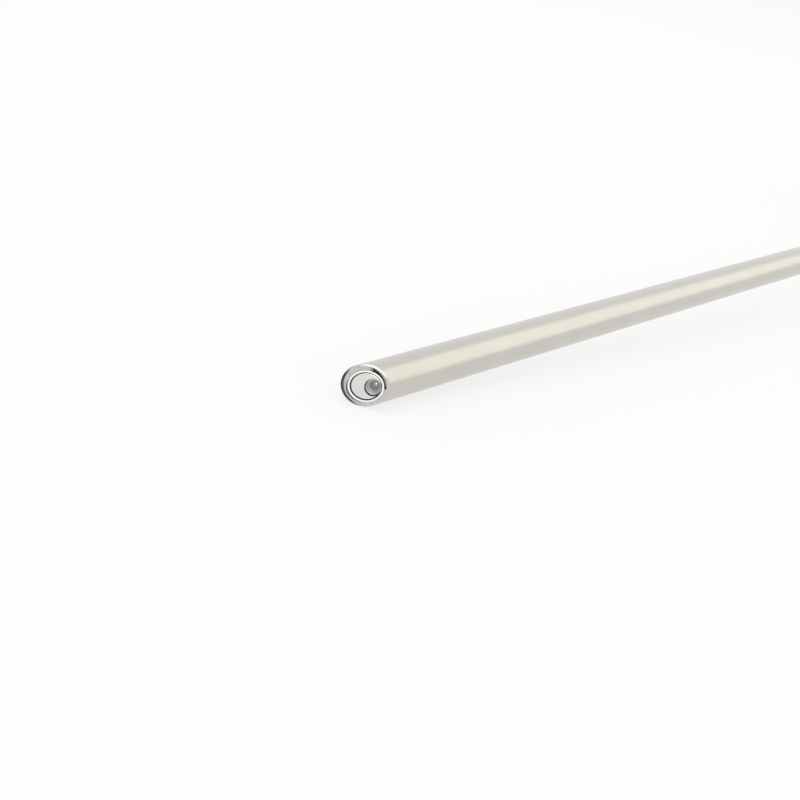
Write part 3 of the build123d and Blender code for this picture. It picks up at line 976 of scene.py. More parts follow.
@dataclass(frozen=True)
class ConeFinish(Finish):
    """The bored cone: its turned ridges painted as light and dark bands of highlight and shade, and a painted
    shade on one side of its lip.
    """

    colour: Colour
    shade: Colour
    dark: Colour
    side: float
    ring_pitch: float
    ring_range: Range = (-0.6, 0.6)
    shade_side_range: Range = (-0.45, 0.1)
    lip: float = 0.17
    lip_fade: float = 1.6
    roughness: float = 0.34

    def wire(self, blank: Blank) -> None:
        """Wires the painted ring bands, and the painted shade of the lip over them.

        Args:
            blank: the started material.
        """
        wiring = blank.wiring
        depth = wiring.node("ShaderNodeSeparateXYZ", {}, Vector=blank.vector).outputs["X"]
        # Painted highlight and shade of the turned ridges: bands of the two colours by depth.
        wave = wiring.math("SINE", wiring.math("MULTIPLY", depth, math.tau / self.ring_pitch))
        rings = wiring.mixed(wiring.between(wave, *self.ring_range), (*self.colour, 1.0), (*self.shade, 1.0))
        # Painted shade on one side of the lip, fading with depth.
        tint = blank.tint(self.side, *self.shade_side_range, (0.0, 0.0, 0.0, 1.0), (1.0, 1.0, 1.0))
        lip = wiring.between(depth, self.lip, self.lip * self.lip_fade, 1.0, 0.0)
        share = wiring.math("MULTIPLY", lip, tint["Mask"])
        blank.surface(wiring.mixed(share, rings, (*self.dark, 1.0)), self.roughness, 1.0)


SATIN = MetalFinish("satin_ground_steel", (0.595, 0.572, 0.530), (0.582, 0.557, 0.512), 0.24,
                    marks_along=24.0, marks_depth=0.004, patch_scale=0.25, handling=0.015)
TURNED = MetalFinish("fine_turned_steel", (0.58, 0.565, 0.53), (0.545, 0.53, 0.495), 0.26)
FACE = MetalFinish("lapped_face_steel", (0.695, 0.69, 0.675), (0.665, 0.66, 0.645), 0.24,
                   marks_along=3.0, marks_around=3.0, marks_depth=0.002, handling=0.02)
CONE = ConeFinish("bored_cone_painted_rings_and_shade", (0.97, 0.97, 0.96), (0.55, 0.55, 0.54), (0.04, 0.04, 0.04), 225.0, 0.24)
BRIGHT = MetalFinish("polished_steel", (0.80, 0.79, 0.77), (0.77, 0.76, 0.74), 0.14, marks_depth=0.004)
# EDGE: polished steel whitened as a painted highlight, for the inner tube and the rounded edge of the plug.
EDGE = MetalFinish("edge_steel_painted_highlight", (0.95, 0.95, 0.94), (0.93, 0.93, 0.92), 0.16, marks_depth=0.0,
                   handling=0.01)
# RIM and CUT_RIM paint a highlight on one side of the rim and a dark reflection on another.
RIM = RimFinish("rim_steel_painted_highlight_and_dark_reflection", (0.56, 0.55, 0.52), (0.74, 0.74, 0.72), (0.055, 0.058, 0.055),
                0.15, 0.60)
CUT_RIM = RimFinish("cut_rim_painted_highlight_and_dark_reflection", (0.58, 0.59, 0.56), (0.95, 0.95, 0.94), (0.060, 0.063, 0.060),
                    0.45, 0.75)
# BORE: painted shade, darker and browner than the wall, on the bore where it shows in the gap.
BORE = MetalFinish("bore_steel_painted_shade", (0.46, 0.42, 0.37), (0.40, 0.37, 0.32), 0.35, marks_depth=0.004)
BLACKENED = MetalFinish("blackened_steel", (0.05, 0.05, 0.05), (0.035, 0.035, 0.035), 0.5)
SOLDER = MetalFinish("silver_solder", (0.70, 0.68, 0.62), (0.60, 0.57, 0.50), 0.34, marks_depth=0.0)
BRASS = MetalFinish("turned_brass", (0.70, 0.55, 0.28), (0.60, 0.46, 0.22), 0.28)
FIBRES = FibreFinish("fibre_ends", (0.90, 0.91, 0.88), (0.70, 0.72, 0.68), (0.40, 0.42, 0.38))
MATRIX = SoftFinish("fibre_cement", (0.44, 0.45, 0.42), (0.32, 0.33, 0.30), 0.45)
# Painted shadow: a dark line on the fibres just outside the inner tube.
RING_PAINTED_SHADOW = SoftFinish("grey_painted_shadow", (0.10, 0.10, 0.10), (0.17, 0.17, 0.16), 0.5)
# A dark border along the fibres' outer edge, on the tube's long side.
DARK_FIBRE_BORDER = SoftFinish("dark_fibre_border", (0.045, 0.046, 0.045), (0.07, 0.072, 0.07), 0.5)
# Painted shade: the gray-brown band of the outer tube's bore, seen in shade in the gap.
WALL_PAINTED_SHADE = SoftFinish("brown_wall_painted_shade", (0.40, 0.37, 0.33), (0.30, 0.27, 0.23), 0.5)
CEMENT = SoftFinish("black_cement", (0.012, 0.012, 0.012), (0.02, 0.02, 0.02), 0.5)
LENS = SoftFinish("coated_front_lens", (0.055, 0.055, 0.052), (0.08, 0.08, 0.075), 0.08,
                  grain_depth=0.0, coat=1.0, coat_index=2.4)
GLASS = GlassFinish("optical_glass", (0.93, 0.96, 0.95), (0.88, 0.93, 0.95))
RUBBER = SoftFinish("seal_rubber", (0.025, 0.025, 0.025), (0.035, 0.035, 0.035), 0.6)
PLASTIC = SoftFinish("black_eyepiece_plastic", (0.012, 0.012, 0.013), (0.016, 0.016, 0.017), 0.42,
                     grain_scale=5.0, grain_depth=0.015)
COLOUR = SoftFinish("view_ring_enamel", (0.50, 0.035, 0.03), (0.42, 0.03, 0.028), 0.25,
                    grain_depth=0.0, coat=0.6)

SLOT_FINISHES: dict[Slot, Finish] = {
    Slot.SATIN_STEEL: TURNED,
    Slot.POLISHED_STEEL: BRIGHT,
    Slot.BLACKENED_STEEL: BLACKENED,
    Slot.BRASS: BRASS,
    Slot.FIBRE_GLASS: FIBRES,
    Slot.LENS_GLASS: GLASS,
    Slot.RUBBER_SEAL: RUBBER,
    Slot.BLACK_PLASTIC: PLASTIC,
    Slot.VIEW_COLOUR: COLOUR,
}

# The two edge zones carry a painted highlight and a painted dark reflection; the bore zone carries a painted
# shade.
ZONE_FINISHES: dict[TubeZone, Finish] = {
    TubeZone.WALL: SATIN,
    TubeZone.OUTER_EDGE: RIM,
    TubeZone.CUT_EDGE: CUT_RIM,
    TubeZone.BORE: BORE,
}


@dataclass
class Dresser:
    """Gives each piece its material, hangs it on the body and hides the CAD nodes that it stands for."""

    effects: SharedEffects
    scope: Placement
    post: Placement
    nodes_on_post: tuple[str, ...] = ("light_post", "light_adapter", "post_washer", "fibre_ferrule",
                                      "inlet_window")
    made: dict[tuple[str, bool], bpy.types.Material] = field(default_factory=dict)

    def material(self, finish: Finish, on_post: bool = False) -> bpy.types.Material:
        """Finds or makes a finish's material.

        Args:
            finish: the finish.
            on_post: whether its marks run round the light post, and not round the tube.

        Returns:
            The material.
        """
        key = (finish.name, on_post)
        if key not in self.made:
            self.made[key] = finish.build(self.effects, self.post if on_post else self.scope)
        return self.made[key]

    def dress(self, piece: bpy.types.Object, finish: Finish, slot: Slot, *nodes: str,
              on_post: bool = False) -> bpy.types.Object:
        """Finishes a piece.

        Args:
            piece: the piece.
            finish: its finish; a piece that already has materials keeps them.
            slot: the record's slot that the finish belongs to; not used.
            nodes: the CAD nodes that the piece stands for.
            on_post: whether tool marks run round the light post.

        Returns:
            The piece.
        """
        if not piece.data.materials:
            piece.data.materials.append(self.material(finish, on_post))
        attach(piece, BODY)
        if nodes:
            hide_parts(*nodes)
        LOG.info("%s: %d faces", piece.name, len(piece.data.polygons))
        return piece

    def dress_nodes(self) -> None:
        """Gives every CAD node the material of its slot in the record."""
        for part in frame["record"]["subparts"]:
            finish = SLOT_FINISHES[Slot(part["material_slot"])]
            piece = frame["nodes"][part["node"]]
            material = self.material(finish, part["node"] in self.nodes_on_post)
            if not piece.material_slots:
                piece.data.materials.append(material)
            for place in piece.material_slots:
                place.material = material


@dataclass
class TipTubes:
    """The insertion tube and the optic tube, cut off together in the plane of the slanted face."""

    dresser: Dresser
    tube_radius: float = 2.0
    bushing_wall: float = 0.20
    bushing_length: float = 13.0
    rim_round: float = 0.05
    rim_round_long_side: float = 0.185
    rim_round_power: float = 2.5
    rim_side: float = -15.0
    rim_steps: int = 6
    bore_round: float = 0.03
    inner_rim_round: float = 0.03
    solder_size: float = 0.45
    solder_steps: int = 8
    solder_lap: float = 0.05
    solder_sink: float = 0.02
    solder_reach: float = 0.999
    optic: Span = field(init=False)
    outer: Span = field(init=False)

    def __post_init__(self) -> None:
        """Measures both tubes."""
        self.outer = Span.of(self.dresser.scope, "outer_tube")
        self.optic = Span.of(self.dresser.scope, "optic_tube")

    def build(self) -> None:
        """Makes both tubes and the solder where the tube enters its socket."""
        grip = self.outer.end - self.bushing_length
        self.build_insertion_tube(grip)
        self.build_optic_tube()
        self.build_solder(grip)

    def rim(self, turn: float) -> float:
        """Returns the outer rim's rounding at an angle round the tube: most where the face is sharpest."""
        share = ((1 + math.cos(turn - math.radians(self.rim_side))) / 2) ** self.rim_round_power
        return self.rim_round + (self.rim_round_long_side - self.rim_round) * share

    def rim_zone(self, strip: int) -> TubeZone:
        """Finds the zone of the wall that a strip of its faces lies in.

        Args:
            strip: the strip's number, counted from the first one of the outer rounding.

        Returns:
            The zone.
        """
        if 0 <= strip < self.rim_steps:
            return TubeZone.OUTER_EDGE
        cut_end = 2 * self.rim_steps + 1
        if self.rim_steps <= strip < cut_end:
            return TubeZone.CUT_EDGE
        return TubeZone.BORE if strip in (cut_end, cut_end + 1) else TubeZone.WALL

    def build_insertion_tube(self, grip: float) -> None:
        """Makes the insertion tube, with the bushing inside its socket.

        Args:
            grip: where the bushing starts along the tube.
        """
        shape = Bevelled(self.dresser.scope, 0.0, 0.0)
        mesh = bmesh.new()
        bushing = self.tube_radius + self.bushing_wall
        loops = [shape.ring(mesh, bushing, self.outer.end), shape.ring(mesh, bushing, grip),
                 shape.ring(mesh, self.tube_radius, grip)]
        rounding = len(loops) + 1
        loops += shape.rim(mesh, self.tube_radius, self.outer.bore, self.rim, self.bore_round, self.rim_steps)
        loops.append(shape.ring(mesh, self.outer.bore, self.outer.end))
        skin(mesh, loops, closed=True, paint=lambda strip: self.rim_zone(strip - rounding).value)
        tube = piece_from("insertion_tube", mesh)
        for zone in TubeZone:
            tube.data.materials.append(self.dresser.material(ZONE_FINISHES[zone]))
        self.dresser.dress(tube, SATIN, Slot.SATIN_STEEL, "outer_tube")

    def build_optic_tube(self) -> None:
        """Makes the inner tube, whose rim is the bright ring at the tip: polished steel, whitened as a painted
        highlight.
        """
        shape = Bevelled(self.dresser.scope, self.optic.across, self.optic.side)
        mesh = bmesh.new()
        loops = [shape.ring(mesh, self.optic.radius, self.optic.end)]
        loops += shape.rim(mesh, self.optic.radius, self.optic.bore, lambda turn: self.inner_rim_round,
                           self.inner_rim_round)
        loops.append(shape.ring(mesh, self.optic.bore, self.optic.end))
        skin(mesh, loops, closed=True)
        self.dresser.dress(piece_from("inner_tube", mesh), EDGE, Slot.POLISHED_STEEL, "optic_tube")

    def build_solder(self, grip: float) -> None:
        """Makes the fillet of solder in front of the socket.

        Args:
            grip: where the socket starts along the tube.
        """
        size, lap, sunk = self.solder_size, grip + self.solder_lap, self.tube_radius - self.solder_sink
        fillet = [(lap, sunk), (lap, self.tube_radius + size)]
        for bend in quarter_turn(self.solder_steps):
            height = size * (1 - math.sin(bend)) * math.cos(bend / 2)
            fillet.append((grip - size * math.sin(bend) * self.solder_reach, self.tube_radius + height))
        fillet.append((grip - size, sunk))
        self.dresser.dress(turned("tube_solder", self.dresser.scope, fillet), SOLDER, Slot.POLISHED_STEEL)


@dataclass(frozen=True)
class Crescent:
    """A thin crescent along a tube's wall; the crescents paint a shadow, a shade and a dark border.

    Its middle and half its sweep are in degrees. Its width is in millimetres, and negative where it reaches
    inwards.
    """

    name: str
    finish: Finish
    middle: float
    half: float
    width: float


@dataclass
class FibreFace:
    """The polished ends of the light fibres, the black cement in the gap between them, which is partly a
    painted shade of the gap's depth, and thin crescents along the tubes.
    """

    dresser: Dresser
    tubes: TipTubes
    gap_turn: float = 150.6
    gap_half: float = 43.1
    margin: float = 0.02
    proud: float = 0.004
    depth: float = 0.05
    cement_depth: float = 0.33
    cement_back: float = 0.39
    cement_inset: float = 0.5
    # Painted shadow on the fibres beside the inner tube.
    ring_painted_shadow: Crescent = Crescent("ring_painted_shadow", RING_PAINTED_SHADOW, -20.0, 50.0, 0.14)
    fibre_dark_border: Crescent = Crescent("fibre_dark_border", DARK_FIBRE_BORDER, -6.0, 58.0, -0.12)
    # Painted shade of the outer tube's bore in the gap.
    wall_painted_shade: Crescent = Crescent("wall_painted_shade", WALL_PAINTED_SHADE, 157.0, 42.0, -0.15)
    wall_painted_shade_depth: float = 0.05
    crescent_end: float = 0.03
    fibre_radius: float = 0.027
    fibre_spacing: float = 0.050
    fibre_height: float = 0.02
    fibre_sides: int = 8
    fibre_sizes: Range = (0.85, 1.08)
    most_per_square_metre: float = 1e9
    least_facing: float = 0.9
    tilt: float = 5.0
    seed: int = 11
    steps: int = 96
    crease: float = 20.0

    def swept(self, name: str, corners: Callable[[int], BarCorners]) -> bpy.types.Object:
        """Makes a bar that runs round the tube in steps.

        Args:
            name: the piece's name.
            corners: across, side and depth behind the face of each corner of the bar, by the step.

        Returns:
            The bar.
        """
        mesh = bmesh.new()
        loops = []
        for step in range(self.steps + 1):
            loops.append([mesh.verts.new(self.dresser.scope.point(behind - across * FACE_SLOPE, across, side))
                          for across, side, behind in corners(step)])
        skin(mesh, loops, closed=False)
        mesh.faces.new(loops[0])
        mesh.faces.new(loops[-1])
        return piece_from(name, mesh, self.crease)

    def band(self, name: str, start: float, end: float, margin: float, front: float,
             back: float) -> bpy.types.Object:
        """Makes a curved bar between the two tubes.

        Args:
            name: the piece's name.
            start: the angle that it starts at, in degrees.
            end: the angle that it ends at.
            margin: how far it stays from either tube.
            front: how far its front lies behind the face.
            back: how far its back lies behind the face.

        Returns:
            The bar.
        """
        optic = self.tubes.optic
        wide, narrow = self.tubes.outer.bore - margin, optic.radius + margin

        def corners(step: int) -> BarCorners:
            """Finds the bar's corners.

            Args:
                step: the step of the sweep.

            Returns:
                The corners at that step.
            """
            turn = math.radians(start + (end - start) * step / self.steps)
            outside = (wide * math.cos(turn), wide * math.sin(turn))
            inside = (optic.across + narrow * math.cos(turn), optic.side + narrow * math.sin(turn))
            return [(*outside, front), (*inside, front), (*inside, back), (*outside, back)]

        return self.swept(name, corners)

    def crescent(self, crescent: Crescent, tube: Span, radius: float,
                 depths: tuple[float, float] | None = None) -> bpy.types.Object:
        """Makes and dresses a thin crescent along the wall of a tube.

        Args:
            crescent: its name, finish, place and size.
            tube: the tube that it lies along.
            radius: the radius of that wall.
            depths: how far its front and its back lie behind the face, or None where it covers the fibres.

        Returns:
            The crescent.
        """
        front, back = depths or (-self.proud - self.fibre_height, self.depth)

        def corners(step: int) -> BarCorners:
            """Finds the crescent's corners.

            Args:
                step: the step of the sweep.

            Returns:
                The corners at that step.
            """
            share = step / self.steps
            turn = math.radians(crescent.middle + (2 * share - 1) * crescent.half)
            free = radius + crescent.width * (math.sin(math.pi * share) + self.crescent_end)
            return [(tube.across + reach * math.cos(turn), tube.side + reach * math.sin(turn), behind)
                    for reach, behind in ((free, front), (radius, front), (radius, back), (free, back))]

        piece = self.swept(crescent.name, corners)
        return self.dresser.dress(piece, crescent.finish, Slot.FIBRE_GLASS)

    def fibre_rule(self) -> bpy.types.NodeTree:
        """Builds the rule that stands fibre ends close together on a face.

        Returns:
            The geometry node group.
        """
        sockets = {"Geometry": "NodeSocketGeometry", "Facing": "NodeSocketVector",
                   "Spacing": "NodeSocketFloat", "Radius": "NodeSocketFloat", "Height": "NodeSocketFloat",
                   "Tilt": "NodeSocketFloat", "Seed": "NodeSocketInt", "Bed": "NodeSocketMaterial",
                   "Ends": "NodeSocketMaterial"}
        tree, wiring, group = new_group("packed_fibre_ends", sockets, {"Geometry": "NodeSocketGeometry"},
                                        "GeometryNodeTree")
        start = group["in"].outputs
        normal = wiring.node("GeometryNodeInputNormal").outputs[0]
        facing = wiring.vector("DOT_PRODUCT", normal, start["Facing"])
        front = wiring.math("GREATER_THAN", facing.outputs["Value"], self.least_facing)
        spread = wiring.node("GeometryNodeDistributePointsOnFaces", {"distribute_method": "POISSON"},
                             Mesh=start["Geometry"], Selection=front, Density_Max=self.most_per_square_metre,
                             Seed=start["Seed"], Distance_Min=start["Spacing"])
        end = wiring.node("GeometryNodeMeshCylinder", {}, Vertices=self.fibre_sides, Radius=start["Radius"],
                          Depth=start["Height"])
        lean = wiring.node("FunctionNodeRandomValue", {"data_type": "FLOAT_VECTOR"}, Seed=start["Seed"])
        wiring.feed_all(lean.inputs, ((-1.0, -1.0, -1.0), (1.0, 1.0, 1.0)))
        scaled = wiring.node("ShaderNodeVectorMath", {"operation": "SCALE"}, Vector=lean.outputs[0],
                             Scale=start["Tilt"])
        turn = wiring.node("FunctionNodeEulerToRotation", {}, Euler=scaled.outputs[0])
        leaning = wiring.node("FunctionNodeRotateRotation", {"rotation_space": "LOCAL"},
                              Rotation=spread.outputs["Rotation"], Rotate_By=turn.outputs[0])
        size = wiring.node("FunctionNodeRandomValue", {"data_type": "FLOAT"}, Seed=start["Seed"])
        wiring.feed_all(size.inputs[2:], self.fibre_sizes)
        placed = wiring.node("GeometryNodeInstanceOnPoints", {}, Points=spread.outputs["Points"],
                             Instance=end.outputs["Mesh"], Rotation=leaning.outputs[0], Scale=size.outputs[1])
        real = wiring.node("GeometryNodeRealizeInstances", {}, Geometry=placed.outputs[0])
        ends = wiring.node("GeometryNodeSetMaterial", {}, Geometry=real.outputs[0], Material=start["Ends"])
        bed = wiring.node("GeometryNodeSetMaterial", {}, Geometry=start["Geometry"], Material=start["Bed"])
        joined = wiring.node("GeometryNodeJoinGeometry")
        wiring.feed(joined.inputs[0], ends.outputs[0])
        wiring.feed(joined.inputs[0], bed.outputs[0])
        wiring.feed(group["out"].inputs[0], joined.outputs[0])
        return tree

    def build(self) -> None:
        """Makes the fibre ends, the black cement in the gap, and the crescents of painted shadow, painted
        shade and dark border.
        """
        scope, optic, outer = self.dresser.scope, self.tubes.optic, self.tubes.outer
        face_out = -(scope.along * math.cos(FACE_ANGLE) + scope.across * math.sin(FACE_ANGLE))
        low, high = self.gap_turn - self.gap_half, self.gap_turn + self.gap_half
        bed = self.band("fibre_ends", high - 360.0, low, self.margin, -self.proud, self.depth)
        values = {"Facing": face_out, "Spacing": self.fibre_spacing * MM, "Radius": self.fibre_radius * MM,
                  "Height": self.fibre_height * MM, "Tilt": math.radians(self.tilt), "Seed": self.seed,
                  "Bed": self.dresser.material(MATRIX), "Ends": self.dresser.material(FIBRES)}
        grow(bed, self.fibre_rule(), values)
        self.dresser.dress(bed, FIBRES, Slot.FIBRE_GLASS)
        # Black cement at the foot of the gap, which also serves as painted shade for the recess.
        cement = self.band("gap_cement_and_painted_shade", low + self.cement_inset, high - self.cement_inset, 0.0,
                           self.cement_depth, self.cement_back)
        self.dresser.dress(cement, CEMENT, Slot.BLACKENED_STEEL)
        self.crescent(self.ring_painted_shadow, optic, optic.radius)
        self.crescent(self.fibre_dark_border, outer, outer.bore)
        self.crescent(self.wall_painted_shade, outer, outer.bore, (self.wall_painted_shade_depth, self.cement_back))


@dataclass
class ObjectiveCell:
    """The steel plug of the optic tube, with its slanted cone, its cement and the front lens."""

    dresser: Dresser
    tubes: TipTubes
    fit: float = 0.015
    recess: float = 0.02
    edge: float = 0.035
    edge_steps: int = 4
    groove_width: float = 0.10
    groove_depth: float = 0.15
    cement_depth: float = 0.05
    cement_lap: float = 0.005
    cement_sink: float = 0.01
    cone_view: float = 0.59
    cone_side: float = 0.115
    cone_radius: float = 0.80
    cone_end_radius: float = 0.46
    cone_depth: float = 0.95
    ridges: int = 7
    ridge_run: float = 0.25
    ridge_rise: float = 0.7
    mouth_round: float = 0.03
    lens_radius: float = 0.55
    lens_pocket: float = 0.34
    lens_dome: float = 0.10
    lens_thickness: float = 0.25
    lens_gap: float = 0.01
    lens_steps: int = 12
    overrun: float = 0.3
    cone_segments: int = 128
    lens_segments: int = 64
    plate_turn: float = 135.0
    plate_shift: float = 0.035
    shape: Bevelled = field(init=False)
    front: Bevelled = field(init=False)
    plate: float = field(init=False)
    cone: Placement = field(init=False)

    def __post_init__(self) -> None:
        """Finds the axes of the plug, of its face, which lies a little off it, and of the cone."""
        scope, optic = self.dresser.scope, self.tubes.optic
        turn = math.radians(self.plate_turn)
        self.shape = Bevelled(scope, optic.across, optic.side)
        self.front = Bevelled(scope, optic.across + self.plate_shift * math.cos(turn),
                              optic.side + self.plate_shift * math.sin(turn))
        self.plate = optic.bore - self.fit - self.groove_width
        self.cone = self.cone_placement()

    def build(self) -> None:
        """Makes the plug, the cement round it and the front lens."""
        self.build_plug()
        self.build_cement()
        self.build_lens()

    def cone_placement(self) -> Placement:
        """Finds the cone's axis.

        Returns:
            The placement: its origin is in the face, and along it runs inwards.
        """
        scope, optic = self.dresser.scope, self.tubes.optic
        inward = scope.along * math.cos(FACE_ANGLE) + scope.across * math.sin(FACE_ANGLE)
        across = optic.across - self.cone_view
        side = optic.side - self.cone_side
        return scope.moved(-across * FACE_SLOPE, across, side).turned_to(inward, scope.side)

    def cutter(self, name: str, grown: float = 0.0) -> bpy.types.Object:
        """Makes the stepped body that the cone and the lens seat are cut with.

        Args:
            name: the cutter's name.
            grown: how much wider it is.

        Returns:
            The cutter.
        """
        slope = (self.cone_radius - self.cone_end_radius) / self.cone_depth
        pitch = self.cone_depth / self.ridges
        mouth, bend = self.cone_radius + grown, self.mouth_round
        outline = [(-self.overrun, 0.0), (-self.overrun, mouth + bend * 2), (self.recess, mouth + bend),
                   (self.recess + bend / 2, mouth + bend / 3), (self.recess + bend, mouth)]
        for ridge in range(1, self.ridges + 1):
            radius = mouth - slope * pitch * ridge
            outline += [(pitch * (ridge - self.ridge_run), radius + slope * pitch * self.ridge_rise),
                        (pitch * ridge, radius)]
        seat, end = self.lens_radius + self.fit, self.cone_depth + self.lens_pocket
        outline += [(self.cone_depth, seat), (end, seat), (end, 0.0)]
        return turned(name, self.cone, outline, self.cone_segments, closed=False)

    def build_plug(self) -> None:
        """Makes the plug, with its groove and the cone cut into it."""
        optic, shape, front, plate = self.tubes.optic, self.shape, self.front, self.plate
        end = Span.of(self.dresser.scope, "objective_cell").end
        wall, groove = optic.bore - self.fit, self.recess + self.groove_depth
        mesh = bmesh.new()
        loops = [front.loop(mesh, 0.0, self.recess), front.loop(mesh, plate - self.edge * 2, self.recess)]
        rounding = len(loops)
        for bend in quarter_turn(self.edge_steps):
            loops.append(front.loop(mesh, plate - self.edge * (1 - math.sin(bend)),
                                    self.recess + self.edge * (1 - math.cos(bend))))
        loops += [front.loop(mesh, plate, groove), shape.loop(mesh, wall, groove),
                  shape.ring(mesh, wall, end), shape.ring(mesh, 0.0, end)]
        # The rounding of the plate's edge takes EDGE, a painted highlight.
        skin(mesh, loops, closed=False, paint=lambda strip: int(0 <= strip - rounding < self.edge_steps))
        plug = piece_from("objective_plug", mesh)
        for finish in (FACE, EDGE):
            plug.data.materials.append(self.dresser.material(finish))
        cutter = self.cutter("cone_cutter")
        # The cone takes CONE, with its painted ring bands and painted lip shade.
        cutter.data.materials.append(CONE.build(self.dresser.effects, self.cone))
        carve(plug, cutter)
        self.dresser.dress(plug, FACE, Slot.POLISHED_STEEL, "objective_cell")

    def build_cement(self) -> None:
        """Makes the black cement in the plug's groove."""
        shape, front = self.shape, self.front
        inner, outer = self.plate - self.cement_lap, self.tubes.optic.bore + self.cement_lap
        top, foot = self.recess + self.cement_depth, self.recess + self.groove_depth + self.cement_sink
        mesh = bmesh.new()
        loops = [front.loop(mesh, inner, top), shape.loop(mesh, outer, top),
                 shape.loop(mesh, outer, foot), front.loop(mesh, inner, foot)]
        skin(mesh, loops, closed=True)
        cement = piece_from("plug_cement", mesh)
        cutter = self.cutter("cement_cutter", grown=-self.cement_sink)
        for piece in (cement, cutter):
            piece.data.materials.append(self.dresser.material(CEMENT))
        carve(cement, cutter)
        self.dresser.dress(cement, CEMENT, Slot.BLACKENED_STEEL)

    def build_lens(self) -> None:
        """Makes the domed front lens at the foot of the cone."""
        outline = [(self.cone_depth - self.lens_dome, 0.0)]
        for step in range(1, self.lens_steps + 1):
            share = step / self.lens_steps
            outline.append((self.cone_depth - self.lens_dome * (1 - share**2), self.lens_radius * share))
        back = self.cone_depth + self.lens_thickness
        outline += [(back, self.lens_radius), (back, 0.0)]
        place = self.cone.moved(self.lens_gap)
        lens = turned("front_window", place, outline, self.lens_segments, closed=False)
        self.dresser.dress(lens, LENS, Slot.LENS_GLASS, "front_lens")


def copies_rule() -> bpy.types.NodeTree:
    """Builds the rule that sets copies of a piece evenly round the X axis, where it isn't built yet.

    Returns:
        The geometry node group.
    """
    if "copies_round_axis" in bpy.data.node_groups:
        return bpy.data.node_groups["copies_round_axis"]
    sockets = {"Geometry": "NodeSocketGeometry", "Count": "NodeSocketInt", "Start": "NodeSocketFloat",
               "Material": "NodeSocketMaterial"}
    tree, wiring, group = new_group("copies_round_axis", sockets, {"Geometry": "NodeSocketGeometry"},
                                    "GeometryNodeTree")
    start = group["in"].outputs
    points = wiring.node("GeometryNodePoints", {}, Count=start["Count"])
    step = wiring.math("DIVIDE", math.tau, start["Count"])
    turn = wiring.math("MULTIPLY_ADD", wiring.node("GeometryNodeInputIndex").outputs[0], step, start["Start"])
    euler = wiring.node("ShaderNodeCombineXYZ", {}, X=turn)
    rotation = wiring.node("FunctionNodeEulerToRotation", {}, Euler=euler.outputs[0])
    copies = wiring.node("GeometryNodeInstanceOnPoints", {}, Points=points.outputs[0],
                         Instance=start["Geometry"], Rotation=rotation.outputs[0])
    real = wiring.node("GeometryNodeRealizeInstances", {}, Geometry=copies.outputs[0])
    named = wiring.node("GeometryNodeSetMaterial", {}, Geometry=real.outputs[0], Material=start["Material"])
    wiring.feed(group["out"].inputs[0], named.outputs[0])
    return tree


